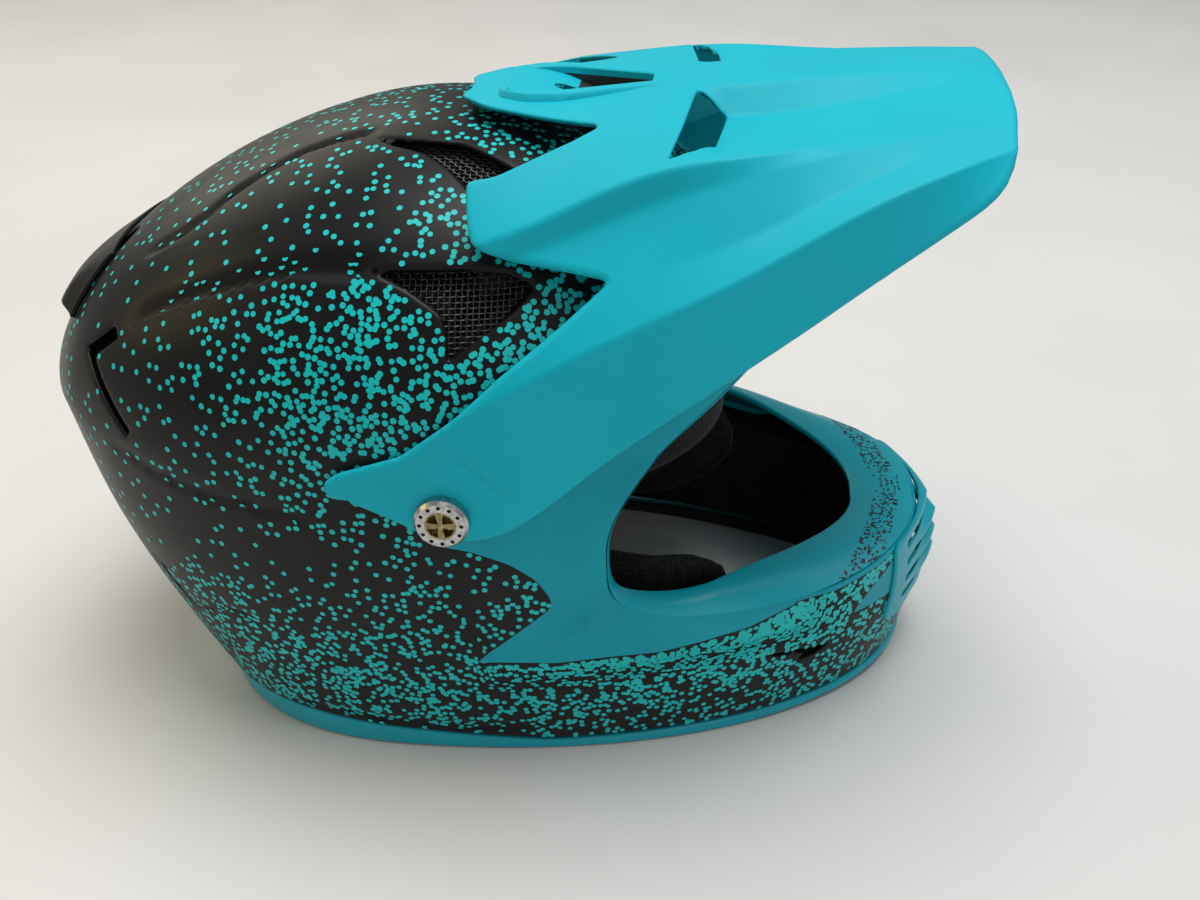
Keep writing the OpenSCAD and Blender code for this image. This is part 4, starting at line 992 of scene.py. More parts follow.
# %% [markdown]
# ## Mouth grille
# A plate over the mouth vent with five stepped ribs, and four slots between them.
# %%
FRAME_EDGE, RIBS, RIB_PITCH = 6.0, 4, 9.0
PLATE_OUT, RIB_OUT, END_RIB_OUT = 1.6, 8.6, 5.5
GRILLE_WALL = 2.1
RIB_HALF, RIB_TOP_SLOPE, RIB_LOW_SLOPE, FIRST_RIB = 30.0, 4.6, 1.3, MOUTH_LOW - 2
SLOT_LIFT, SLOT_HALF, SLOT_INSET = 1.4, 1.9, 5
GRILLE_STEP_X, GRILLE_STEP_Z, PLATE_R = 1.0, 0.55, 6


def on_front(x, z, depth=0.0):
    """Points of the form's front over a place x, z."""
    reach = front_at(z) + CROWN_Y - depth
    e = front_round(z)
    share = np.clip(np.abs(x) / (half_at(z) - depth), 0, 1)
    return np.stack(np.broadcast_arrays(x, CROWN_Y - reach * (1 - share**e) ** (1 / e), z), -1)


def grille_skin():
    half = MOUTH_HALF + FRAME_EDGE + 1
    z, x = np.meshgrid(np.arange(MOUTH_LOW - FRAME_EDGE - 1, MOUTH_HIGH + FRAME_EDGE + 0.6, GRILLE_STEP_Z),
                       np.arange(-half, half + 0.1, GRILLE_STEP_X), indexing="ij")
    rise = np.full(z.shape, PLATE_OUT)
    for k in range(RIBS + 1):
        out = (END_RIB_OUT if k in (0, RIBS) else RIB_OUT) - PLATE_OUT
        gap = z - (FIRST_RIB + k * RIB_PITCH)
        tooth = np.clip(1 - np.where(gap > 0, gap / RIB_TOP_SLOPE, -gap / RIB_LOW_SLOPE), 0, 1)
        rise += out * np.minimum(1, tooth * 1.2) * np.clip(1 - np.abs(x) / RIB_HALF, 0, 1) ** 1.2
    return grid_skin(on_front(x, z), rise=rise.ravel())


def box_outline(half, low, high):
    return [(-half, low), (half, low), (half, high), (-half, high)]


def beyond_plate(skin):
    plan = skin["at"][:, [0, 2]]
    half, low, high = MOUTH_HALF + FRAME_EDGE, MOUTH_LOW - FRAME_EDGE, MOUTH_HIGH + FRAME_EDGE - 1
    return -outline_distance(plan, rounded(box_outline(half, low, high), PLATE_R))


def in_slots(skin):
    at = skin["at"]
    field = np.full(len(at), OUTSIDE)
    for k in range(RIBS):
        centre = FIRST_RIB + (k + 0.5) * RIB_PITCH
        gap = np.hypot(np.maximum(np.abs(at[:, 0]) - MOUTH_HALF + SLOT_INSET, 0),
                       at[:, 2] - centre - SLOT_LIFT)
        field = np.maximum(field, SLOT_HALF - gap)
    return field


grille = grille_skin()
grille.open(beyond_plate, 1.2, 1.2)
grille.open(in_slots, 0.5, 0.2)
dress(skin_object("mouth_plate", grille, trim_finish, GRILLE_WALL), "helmet", "trim", "mouth_grille")

# %% [markdown]
# ## Woven screens behind the vents
# Round wires run both ways over each vent and cross over and under by turns.
# %%
SCREEN_GAP, MOUTH_LIFT, SCREEN_T = 0.8, 0.9, 1.0
SCREEN_LIFT = WALL + SCREEN_GAP + MOUTH_LIFT
WIRE_R, WIRE_SIDES, WIRE_WAVE = 0.4, 5, 0.34
TOP_PATCH = [(31, 35), (37, -38), (74.5, -34.5), (52, 32)]
SIDE_PATCH = [(27, 222.5), (-40, 220.5), (-8, 188), (5, 191)]


def woven(outline, pitch, place):
    """Wires over a flat outline; place lifts a flat point onto the form at a depth."""
    outline = np.asarray(outline, float)
    low, high = outline.min(axis=0), outline.max(axis=0)
    parts = []
    for run in (0, 1):
        cross = 1 - run
        lines = np.arange(low[cross] + pitch[cross] / 2, high[cross], pitch[cross])
        for k, offset in enumerate(lines):
            steps = np.arange(low[run] + pitch[run] / 2, high[run], pitch[run] / 2)
            flat = np.zeros((len(steps), 2))
            flat[:, run], flat[:, cross] = steps, offset
            inside = np.flatnonzero(outline_distance(flat, outline) > 0.2)
            if len(inside) < 4:
                continue
            inside = np.arange(inside[0], inside[-1] + 1)
            weave = np.cos(math.pi * (inside / 2 + k)) * (1 if run else -1)
            depth = SCREEN_LIFT + SCREEN_T / 2 + WIRE_WAVE * weave
            parts.append(wire(place(flat[inside], depth), WIRE_R, WIRE_SIDES))
    return joined(parts)


def on_top(flat, depth):
    return np.column_stack([flat, top_here(flat[:, 0], flat[:, 1], depth)])


def on_side(flat, depth):
    return np.column_stack([side_here(flat[:, 0], flat[:, 1], depth), flat])


def on_mouth(flat, depth):
    return on_front(flat[:, 0], flat[:, 1], depth - MOUTH_LIFT)


MOUTH_PATCH = box_outline(MOUTH_HALF + 3, MOUTH_LOW - 3, MOUTH_HIGH + 1)
for kind, outline, pitch, place in (("top", TOP_PATCH, (1.9, 2.1), on_top),
                                    ("side", SIDE_PATCH, (2.1, 1.7), on_side)):
    mesh_parts = woven(outline, pitch, place)
    for hand, shape in (("left", mesh_parts), ("right", mirrored(*mesh_parts))):
        dress(mesh_object(f"{kind}_mesh_{hand}", *shape, screen_finish), "helmet", "mesh",
              f"{kind}_screen_{hand}")
dress(mesh_object("mouth_mesh", *woven(MOUTH_PATCH, (2.1, 2.1), on_mouth), screen_finish), "helmet", "mesh",
      "mouth_screen")
print("grille and screens made")

# %% [markdown]
# ## Visor
# Each station is a place y and the (x, z) of the eight rails there, from the middle outward. The rails
# are read as smooth curves from the arms to the front edge. Between two rails the sheet stays nearly
# flat, so the moulded creases show. The two rails at the scoop jump there, so each half is smoothed alone.
# %%
VISOR_T, SOFTEN = 2.6, 0.1
VISOR_STATIONS = [
    (52, (7, 261.5), (27, 261.5), (84, 250), (99, 224), (101, 216), (121.5, 190), (121.5, 170), (121.5, 118)),
    (4, (7, 261.2), (27, 261.2), (81, 249), (98.5, 227), (100, 219), (120.8, 188), (121.5, 172),
     (121.5, 118)),
    (-14, (7, 260.7), (27, 260.7), (79, 249.5), (96.5, 232), (98, 224), (115.5, 200), (121.5, 178),
     (121.5, 120)),
    (-30, (7, 260.6), (27, 260.6), (72, 253.5), (94, 235.5), (94.5, 227), (110, 206), (118, 190), (121, 133)),
    (-48, (7, 261.2), (27, 260.9), (62, 257.5), (90, 244), (90, 234), (105, 214), (115.5, 199), (119, 147)),
    (-70, (14, 263), (27, 262.3), (60, 260), (85, 253), (85, 242), (101, 222), (112, 208.5), (115.5, 168)),
    (-87, (18.5, 264.5), (27, 263.4), (60, 261.2), (82, 257), (84, 247), (98, 228), (109, 216), (113, 172)),
    (-101, (18, 265), (27.5, 254.5), (60, 253.5), (80, 257), (83, 249.5), (96, 231), (107, 221.5),
     (110, 178)),
    (-122, (15.5, 266), (28, 257), (56, 255.5), (73, 257.2), (78, 254.3), (90, 239.5), (102.5, 233),
     (105, 192)),
    (-143, (13, 267), (27, 259.6), (49, 257.5), (63, 257.9), (69, 256.6), (81, 249), (96, 244), (100, 204)),
    (-162, (11, 267.4), (22, 262.5), (41, 259.8), (57, 259), (64, 257.8), (75, 254.2), (89, 251), (95, 218)),
    (-178, (9, 267), (17, 264.8), (34, 262), (50, 260.6), (57, 260.4), (68, 257.6), (82, 254), (90, 230)),
    (-188, (8, 266.4), (14.5, 265.7), (31, 263.4), (46, 261.4), (54, 260), (61, 258.3), (72, 255),
     (86.5, 238))]
VISOR_FRONT = [(-201, 0, 265.8), (-201, 7, 265.8), (-200.9, 15, 265.5), (-200.7, 30, 264.5),
               (-200, 45, 262.3), (-199, 54, 260.1), (-198, 60, 258.6), (-197, 68, 256.4), (-192.5, 87, 240)]
LOWER_EDGE = [(34, 141), (19, 133.5), (7, 127), (-8, 125.5), (-21, 129), (-32.4, 136.3), (-62, 160.3),
              (-92, 180.5), (-122.8, 200.5), (-152.6, 220.3), (-174.4, 233.9), (-187.5, 242.5),
              (-194, 248.7), (-196.3, 252.6), (-203, 257.5)]
WING_BACK = [(-240, 259), (-240, 300), (30, 300), (6, 275), (6, 256), (-8, 252), (-10, 240), (-13, 233),
             (-18, 229), (-25, 226.5), (-61, 221.5), (-44, 208), (-23, 192), (-5, 176), (14, 162), (39, 154),
             (44, 150), (44, 145), (39, 142)]
VISOR_NOTCH = [(0, 0), (14, 3), (28, -9), (34, -24), (43, -44), (47, -53), (51, -53), (60, -45), (70, -32),
               (77, -20), (79, -10), (88, -11), (97, -13.5), (140, -13.5), (140, 60), (0, 60)]
NOTCH_Z, TAB_LEAST_Z, SCOOP_Z = 218, 200, 245          # the openings seen from above lie above these
TAB_HEX = [(-15, -16), (15, -16), (20, -25), (20, -36), (7, -73), (-7, -73), (-20, -36), (-20, -25)]
SCOOP = [(20, -88.5), (27.5, -99.5), (64, -96), (73, -89), (77.5, -80), (60, -84)]
ARM_CREASE = [(121.5, -8, 161), (121.5, -12, 156), (121.5, -18, 150), (121.5, -24, 144)]
CREASE_DEPTH, CREASE_HALF = 1.5, 2.0
ACROSS_COUNTS = (5, 9, 13, 13, 6, 12, 12, 28)          # steps of the mesh between one rail and the next
ALONG_STEP, STEADY = 2.0, 15.0
SCOOP_BACK, SCOOP_FOOT, SCOOP_RAILS = -88.0, -98.0, (2, 3)
EDGE_STEPS = 60


def steadied(values, reach):
    """Values along a rail with their small wander taken out; both ends stay where they are."""
    n = len(values)
    steps = np.arange(-n + 1, n) * ALONG_STEP
    weight = np.exp(-0.5 * (steps / reach) ** 2)
    weight /= weight.sum()
    before, after = 2 * values[0] - values[:0:-1], 2 * values[-1] - values[-2::-1]
    return np.stack([np.convolve(column, weight, mode="valid")
                     for column in np.concatenate([before, values, after]).T], axis=1)


def visor_skin():
    rows = [[(0, y, rails[0][1])] + [(x, y, z) for x, z in rails] for y, *rails in VISOR_STATIONS]
    rails = np.array(rows + [[(x, y, z) for y, x, z in VISOR_FRONT]], float)
    params = walked(rails[:, 4])
    at = np.linspace(0, params[-1], int(params[-1] / ALONG_STEP) + 1)
    fine = np.stack([smooth_curve(params, rails[:, k], at) for k in range(rails.shape[1])], axis=1)
    for k in range(rails.shape[1]):
        places = fine[:, k, 1]
        spans = ([places > SCOOP_BACK, places < SCOOP_FOOT] if k in SCOOP_RAILS
                 else [np.full(len(places), True)])
        for span in spans:
            fine[span, k] = steadied(fine[span, k], STEADY)
    half = np.stack([fine[:, 0]] + [fine[:, k] + (fine[:, k + 1] - fine[:, k]) * step / count
                                    for k, count in enumerate(ACROSS_COUNTS)
                                    for step in range(1, count + 1)], axis=1)
    grid = np.concatenate([half[:, :0:-1] * [-1, 1, 1], half], axis=1)
    grid[:, 1:-1] = (1 - 2 * SOFTEN) * grid[:, 1:-1] + SOFTEN * (grid[:, :-2] + grid[:, 2:])
    return grid_skin(grid[::-1])


def visor_outline():
    """What is left of the sheet, seen from the side, with its lower edge as one smooth line."""
    lower = np.array(LOWER_EDGE, float)
    params = walked(lower)
    at = np.linspace(0, params[-1], EDGE_STEPS)
    return np.concatenate([rounded(WING_BACK, 3)[1:], smooth_curve(params, lower, at)])


VISOR_OUTLINE = visor_outline()


def beyond_side(skin):
    return -outline_distance(skin["at"][:, 1:], VISOR_OUTLINE)


def in_tab(skin):
    at = skin["at"]
    return outline_distance(at[:, :2], rounded(TAB_HEX, 1.5)) + OUTSIDE * (at[:, 2] < TAB_LEAST_Z)


visor = visor_skin()
visor.open(beyond_side, 2.4, 1.1)
visor.open(seen_from_above(VISOR_NOTCH, 3, NOTCH_Z), 1.3, 0.75)
visor.open(seen_from_above(SCOOP, 1.0, SCOOP_Z), 0.9, 0.5)
visor.open(in_tab, 0.6, 0.1)
crease, _ = beside(*left_half(visor), ARM_CREASE)
visor.values["rise"] = -CREASE_DEPTH * np.clip(1 - np.abs(crease) / CREASE_HALF, 0, 1)
dress(skin_object("visor_blade", visor, visor_finish, VISOR_T), "visor", "visor", "visor")
print("visor:", len(visor.triangles), "triangles")

# %% [markdown]
# ### Tab in the middle of the visor
# A raised rim round an eight-sided window, and a curved floor with the slot that the middle screw
# slides in.
# %%
ARC_R, FLOOR_T = 125.0, 2.0
SLOT_Y, SLOT_R, FLOOR_MARGIN = (-63.7, -34.9), 2.4, 1.2
TAB_TOP, TAB_FOOT = 263.4, 260.0
TAB_SHADE_FROM = -40.0                             # ahead of this the floor is painted black, as painted shade inside the window
LIT_DEPTH, SHADE_BAND = 2.9, 5                # the rim's inner wall is painted black below this depth, as painted shade


def floor_z(y):
    return HINGE_Z + np.sqrt((ARC_R + FLOOR_T) ** 2 - (y - HINGE_Y) ** 2)


def tab_floor():
    y, x = np.meshgrid(np.arange(-76, -13, 1.0), np.arange(-22, 22.1, 1.0), indexing="ij")
    skin = grid_skin(np.stack([x, y, floor_z(y)], -1)[::-1])
    skin.open(lambda s: -FLOOR_MARGIN - outline_distance(s["at"][:, :2], TAB_HEX), 0.3, 0.0)
    skin.open(lambda s: SLOT_R - np.hypot(s["at"][:, 0], s["at"][:, 1] - np.clip(s["at"][:, 1], *SLOT_Y)),
              0.6, 0.3)
    obj = skin_object("tab_floor", skin, visor_finish, FLOOR_T)
    # The floor ahead of that line gets the black finish as painted shade.
    return dark_where(obj, [face.center.y < (TAB_SHADE_FROM + SHIFT_Y) * MM for face in obj.data.polygons])


def tab_rim():
    outline = rounded(TAB_HEX, 2.5, 6)
    ahead_of = np.roll(outline, -1, axis=0) - np.roll(outline, 1, axis=0)
    out = unit(np.stack([ahead_of[:, 1], -ahead_of[:, 0]], 1))
    if np.sum(out[0] * (outline[0] - outline.mean(axis=0))) < 0:
        out = -out
    low = floor_z(outline[:, 1]) - FLOOR_MARGIN
    foot = np.minimum(low, TAB_FOOT)
    section = [(4.6, 260.3), (3.8, TAB_TOP - 0.6), (3.2, TAB_TOP), (-1.8, TAB_TOP), (-2.3, TAB_TOP - 0.5),
               (-2.4, TAB_TOP - LIT_DEPTH), (-2.5, low), (0.8, foot)]
    points = np.stack([np.column_stack([outline + out * o, np.broadcast_to(z, len(outline))])
                       for o, z in section], axis=1)
    rows, cols = points.shape[:2]
    # The band of the inner wall below the lit depth gets the black finish as painted shade.
    return dark_where(ring_object("tab_rim", points, visor_finish, 40),
                      np.arange(rows * cols) % cols == SHADE_BAND)


for piece in (tab_floor(), tab_rim()):
    dress(piece, "visor", "visor")

# %% [markdown]
# ## Rear hood
# The raised plate over the exhaust holes starts flush with the dome and stands off it at the back.
# %%
HOOD_FROM, HOOD_TO, HOOD_RISE, HOOD_ROOF = 68.5, 78.5, 4.6, 2.0
HOOD_HALF, HOOD_SPREAD, HOOD_GAP, HOOD_SINK = 34, 14, 0.1, 0.35


def reach_out(x, angle):
    """Distance from the brow's centre line to the form's face, at an angle from straight up."""
    def inside(reach):
        y, z = CROWN_Y - reach * np.sin(angle), BROW_Z + reach * np.cos(angle)
        return (z < SHELL_H) & (half_here(y, np.minimum(z, SHELL_H)) > np.abs(x))

    return furthest(inside, np.zeros(np.shape(x)), np.full(np.shape(x), 260.0), 26)


def rear_hood():
    u, v = np.meshgrid(np.linspace(0, 1, 40), np.linspace(-1, 1, 71), indexing="ij")
    angle = -np.radians(HOOD_FROM + (HOOD_TO - HOOD_FROM) * u)
    x = v * (HOOD_HALF + HOOD_SPREAD * u)
    lift = HOOD_RISE * ease(u * 1.25) * ease((1 - np.abs(v)) * 4)
    r = reach_out(x, angle) + lift + HOOD_GAP - HOOD_SINK * (1 - ease(u * 8))
    grid = np.stack([x, CROWN_Y - r * np.sin(angle), BROW_Z + r * np.cos(angle)], -1)[::-1]
    return skin_object("rear_hood", grid_skin(grid, paint=np.full(x.size, OUTSIDE)), shell_paint, HOOD_ROOF)


dress(rear_hood(), "helmet", "shell")
print("tab and hood made")

# %% [markdown]
# ## Printed dots
# Small round dots of ink lie on the shell, thin at the back and crowded near the turquoise fields. The
# crowding is set at a few places of the photograph, in dots per square centimetre, and blends between.
# Each dot is a disc laid on the surface. The layout itself is random, from a fixed seed.
# %%
DOT_R, DOT_SIDES = 1.16, 10
DOT_LIFT, LIFT_STEP, LIFTS = 0.05, 0.012, 5            # neighbours that overlap lie at different heights
TRIES, SPACING, CELL = 1.35, 3.6, 3.2                  # places tried per dot, and two lengths in mm
CROWDING = np.array([
    (420, 108, 2.8), (500, 115, 4.5), (560, 128, 4), (300, 160, 1.8), (240, 190, 1.3), (360, 200, 2.5),
    (430, 220, 4.6), (400, 150, 2.4), (150, 250, 0.9), (110, 300, 0.9), (200, 250, 1.2), (280, 240, 1.3),
    (330, 250, 1.6), (250, 268, 1.2), (345, 292, 9.5), (300, 320, 8.5), (240, 320, 4), (380, 340, 11),
    (430, 390, 12), (300, 380, 9), (350, 430, 11), (400, 430, 10.5), (250, 400, 5.5), (200, 380, 2.4),
    (160, 350, 1.4), (110, 400, 0.9), (180, 450, 1.2), (300, 480, 6), (250, 460, 3), (460, 400, 11),
    (520, 350, 11.5), (560, 310, 11), (600, 285, 8), (480, 250, 7), (340, 505, 7.5), (440, 170, 3.6),
    (250, 525, 1.0), (200, 540, 0.7), (300, 560, 1.3), (380, 560, 2.2), (400, 522, 4.6), (450, 560, 3.6),
    (500, 580, 5), (540, 600, 8.5), (470, 620, 3), (520, 565, 6), (350, 620, 3.4), (300, 600, 2.2),
    (400, 645, 7), (330, 650, 9), (450, 650, 7.5), (200, 590, 5), (160, 560, 1.2), (230, 622, 8),
    (180, 590, 6), (350, 680, 12), (450, 690, 10), (550, 690, 10), (280, 670, 10), (600, 690, 9),
    (700, 650, 32), (560, 668, 28), (620, 661, 32), (800, 615, 36), (870, 550, 30), (750, 635, 34),
    (700, 690, 7), (800, 660, 8), (870, 620, 12), (600, 715, 6), (500, 715, 7), (400, 710, 7),
    (650, 730, 5), (740, 685, 6), (840, 648, 7),
    (330, 700, 9), (90, 330, 1.2), (90, 480, 0.8)], float)
BLEND_NEAR, BLEND_POWER = 4, 4.2                       # how the crowding blends with distance in pixels
TRIM_ROOM, STEEP, FLAT_DROP = 0.9, 0.95, 0.02          # no dot by the paint, on a steep step or on an edge
DOT_SIZES, SPECK_SIZES = (0.9, 1.06), (0.28, 0.75)


def crowding_at(points):
    """Dots per square centimetre at points of the shell."""
    flat = pixel(near_side(points))
    gap = np.linalg.norm(flat[:, None] - CROWDING[None, :, :2], axis=2)
    weight = 1 / (gap + BLEND_NEAR) ** BLEND_POWER
    return (weight @ CROWDING[:, 2]) / weight.sum(axis=1)


def anywhere(rng, count):
    """Random places in triangles, as shares of their corners."""
    r1, r2 = np.sqrt(rng.random(count)), rng.random(count)
    return np.stack([1 - r1, r1 * (1 - r2), r1 * r2], 1)


def discs(at, normal, aside, radius, sides):
    """Points of flat discs laid square to the normals; aside is any way that isn't a normal's own."""
    across = unit(np.cross(normal, aside))[:, None]
    above = np.cross(normal[:, None], across)
    w = round_turn(sides)[None, :, None]
    return (at[:, None] + radius[:, None, None] * (np.cos(w) * across + np.sin(w) * above)).reshape(-1, 3)


def scattered(skin, rng):
    """Places and normals of the dots: candidates in random order, kept if they have room."""
    points = skin_points(skin)
    a, b, c = (points[skin.triangles[:, k]] for k in range(3))
    area = np.linalg.norm(np.cross(b - a, c - a), axis=1) / 2
    centre = (a + b + c) / 3
    wanted = crowding_at(centre) / 100
    tries = rng.poisson(area * wanted * TRIES)
    owner = rng.permutation(np.repeat(np.arange(len(area)), tries))
    bary = anywhere(rng, len(owner))
    corners = skin.triangles[owner]

    def blended(values):
        return np.einsum("ij,ij...->i...", bary, values[corners])

    at, normal = blended(points), unit(blended(skin["normal"]))
    clear = (blended(skin["paint"]) < -TRIM_ROOM) & (blended(skin["drop"]) < FLAT_DROP)
    clear &= np.ptp(skin["rise"][corners], axis=1) < STEEP
    at, normal, spread = at[clear], normal[clear], SPACING / np.sqrt(crowding_at(at[clear]))
    kept, boxes = [], {}
    for k, (p, room) in enumerate(zip(at, spread)):
        key = tuple((p // CELL).astype(int))
        reach = int(math.ceil(room / CELL))
        near = [q for dx in range(-reach, reach + 1) for dy in range(-reach, reach + 1)
                for dz in range(-reach, reach + 1)
                for q in boxes.get((key[0] + dx, key[1] + dy, key[2] + dz), ())]
        if near and np.min(np.sum((at[near] - p) ** 2, axis=1)) < room**2:
            continue
        kept.append(k)
        boxes.setdefault(key, []).append(k)
    return at[kept], normal[kept]


def dots(skin):
    rng = np.random.default_rng(7)
    at, normal = scattered(skin, rng)
    count = len(at)
    aside = np.where(np.abs(normal[:, 2:]) < 0.9, [0.0, 0.0, 1.0], [1.0, 0.0, 0.0])
    lift = DOT_LIFT + LIFT_STEP * (np.arange(count) % LIFTS)
    points = discs(at + normal * lift[:, None], normal, aside, DOT_R * rng.uniform(*DOT_SIZES, count),
                   DOT_SIDES)
    print("dots:", count)
    return mesh_object("printed_dots", points, np.arange(len(points)).reshape(-1, DOT_SIDES), dot_finish,
                       smooth=False)


dress(dots(shell), "helmet", "trim")

# %% [markdown]
# On the rim in front, the same pattern is so dense that only its gaps show: dark specks on turquoise,
# in a strip beside the opening.
# %%
STRIP_PX = rounded([(832, 592), (858, 545), (874, 498), (884, 446), (900, 446), (898, 500), (886, 548),
                    (862, 596)], 3)
SPECKS_PER_MM2, SPECK_SIDES, SPECK_LIFT = 0.42, 6, 0.09


def rim_specks():
    """Specks on the upper faces of the rim in front, as the camera sees them, and their mirror image."""
    rng = np.random.default_rng(11)
    mesh = bpy.data.objects["port_rim"].data
    mesh.calc_loop_triangles()
    corners = drawn_points(mesh)[np.array([t.vertices[:] for t in mesh.loop_triangles])]
    cross = np.cross(corners[:, 1] - corners[:, 0], corners[:, 2] - corners[:, 0])
    area = np.linalg.norm(cross, axis=1) / 2
    centre = corners.mean(axis=1)
    facing = unit(cross)
    seen = (np.sum(facing * (CAMERA_AT - centre), axis=1) > 0) & (centre[:, 1] < -100) & (centre[:, 0] < 0)
    seen &= facing[:, 2] > -0.2
    owner = np.repeat(np.arange(len(area)), rng.poisson(area * SPECKS_PER_MM2 * seen))
    at = np.einsum("ij,ijk->ik", anywhere(rng, len(owner)), corners[owner])
    inside = outline_distance(pixel(at), STRIP_PX) > 0
    at, normal = at[inside], facing[owner][inside]
    near = discs(at + normal * SPECK_LIFT, normal, [1.0, 0.3, 0.2], rng.uniform(*SPECK_SIZES, len(at)),
                 SPECK_SIDES)
    faces = np.arange(len(near)).reshape(-1, SPECK_SIDES).tolist()
    print("specks:", 2 * len(at))
    return mesh_object("rim_specks", *joined([(near, faces), mirrored(near, faces)]), plastic_and_shade_finish,
                       smooth=False)


dress(rim_specks(), "helmet", "trim")

# %% [markdown]
# ## Padding
# The cheek pads and the neck roll are closed forms that swell as stuffed cloth, then get their sewn
# channels. The comfort liner is quilted directly.
# %%
CHEEK_FOAM_T, CHEEK_PAD_T, STRAP_SLOT, PAD_MAX_X = 16.0, 18.0, 5.0, 81.5
PAD_OUTLINE = [(-108, 66), (-96, 84), (-60, 90), (-20, 90), (18, 86), (34, 66), (32, 36), (16, 24),
               (-24, 22), (-66, 24), (-92, 36), (-106, 52)]
PAD_MID = np.array([-36.0, 56.0])
PAD_ROWS = [(0.02, 0), (0.3, 0), (0.5, 0), (0.75, 0), (0.9, 0), (0.97, 0.08), (1, 0.3), (0.985, 0.55),
            (0.93, 0.78), (0.8, 0.93), (0.66, 0.99), (0.54, 1.0), (0.4, 1.01), (0.3, 1.02), (0.15, 1.02),
            (0.02, 1.02)]
PAD_SEAM, SEAM_DEPTH, SEAM_HALF = 0.62, 1.7, 3.2
SEAM_FROM, SEAM_RUN = 9, 4                             # the seam lies on the front, this far from the back
PAD_SHRINK, PAD_GAP, SWELL_ROOM = 0.985, 0.6, 2.2
PRESSURE, STIFFNESS, FRAMES = 4.0, 25, 20


def closed_curve(corners, count):
    """A smooth closed curve through the corners."""
    p = np.asarray(corners, float)
    places = np.arange(count) / count * len(p)
    i = places.astype(int)
    f = (places - i)[:, None]
    a, b, c, d = (p[(i + k) % len(p)] for k in (-1, 0, 1, 2))
    return 0.5 * (2 * b + (c - a) * f + (2 * a - 5 * b + 4 * c - d) * f**2 + (3 * b - a - 3 * c + d) * f**3)


def pad_back(y, z):
    return np.minimum(PAD_MAX_X, half_here(y, z, WALL + CHEEK_FOAM_T + STRAP_SLOT))


def set_points(obj, points):
    obj.data.vertices.foreach_set("co", np.asarray(points, np.float32).ravel())
    obj.data.update()


def baked(obj):
    """The object with its modifiers made real."""
    view = bpy.context.evaluated_depsgraph_get()
    mesh = bpy.data.meshes.new_from_object(obj.evaluated_get(view))
    obj.modifiers.clear()
    obj.data = mesh
    return obj


def swollen(obj, voxel, cap):
    """Lets a closed piece swell as stuffed cloth; no point moves further than cap, in mm."""
    even = obj.modifiers.new("even", "REMESH")
    even.mode, even.voxel_size = "VOXEL", voxel * MM
    baked(obj)
    start = get_points(obj.data)
    cloth = obj.modifiers.new("cloth", "CLOTH")
    cloth.settings.use_pressure = True
    cloth.settings.uniform_pressure_force = PRESSURE
    cloth.settings.effector_weights.gravity = 0
    cloth.settings.tension_stiffness = cloth.settings.compression_stiffness = STIFFNESS
    cloth.point_cache.frame_start, cloth.point_cache.frame_end = 1, FRAMES
    for frame_number in range(1, FRAMES + 1):
        bpy.context.scene.frame_set(frame_number)
    view = bpy.context.evaluated_depsgraph_get()
    moved = get_points(obj.evaluated_get(view).data) - start
    obj.modifiers.clear()
    bpy.context.scene.frame_set(1)
    length = np.maximum(np.linalg.norm(moved, axis=1, keepdims=True), 1e-9)
    set_points(obj, start + moved * np.minimum(1, cap * MM / length))
    finer = obj.modifiers.new("finer", "SUBSURF")
    finer.levels = finer.render_levels = 1
    baked(obj)
    obj.data.polygons.foreach_set("use_smooth", [True] * len(obj.data.polygons))
    return obj


def cheek_pad():
    curve = closed_curve(PAD_OUTLINE, 72)
    rows = []
    for share, deep in PAD_ROWS:
        flat = PAD_MID + (curve - PAD_MID) * (share * PAD_SHRINK)
        thin = 1 - 0.35 * ease((-flat[:, 0] - 50) / 60)
        face = pad_back(*flat.T) - PAD_GAP - deep * (CHEEK_PAD_T - SWELL_ROOM) * thin
        rows.append(np.column_stack([face, flat]))
    pad = swollen(mesh_object("cheek_pad_skin_left", *bar(rows), pad_fabric), 4.0, SWELL_ROOM)
    points = drawn_points(pad.data)
    back = pad_back(points[:, 1], points[:, 2])
    points[:, 0] = np.minimum(points[:, 0], back)
    front = ease((back - points[:, 0] - SEAM_FROM) / SEAM_RUN)
    seam = outline_distance(points[:, 1:], PAD_MID + (curve - PAD_MID) * PAD_SEAM)
    points[:, 0] += SEAM_DEPTH * np.clip(1 - np.abs(seam) / SEAM_HALF, 0, 1) ** 1.5 * front
    set_points(pad, placed(points))
    return pad


def other_side(obj, name):
    """A mirrored copy of an object."""
    mesh = obj.data.copy()
    twin = bpy.data.objects.new(name, mesh)
    bpy.context.scene.collection.objects.link(twin)
    set_points(twin, get_points(mesh) * [-1, 1, 1])
    mesh.flip_normals()
    return twin


pad_left = cheek_pad()
pad_right = other_side(pad_left, "cheek_pad_skin_right")
for pad, hand in ((pad_left, "left"), (pad_right, "right")):
    dress(pad, "helmet", "pad", f"cheek_pad_{hand}")

ROLL_FROM, ROLL_Z, ROLL_DEPTH, ROLL_THICK, ROLL_TALL, ROLL_QUILTS = 122.0, 38.0, 11.8, 11.0, 20.0, 5
ROLL_PULL, ROLL_SEAM, QUILT_LEN = 0.1, 3.5, 46


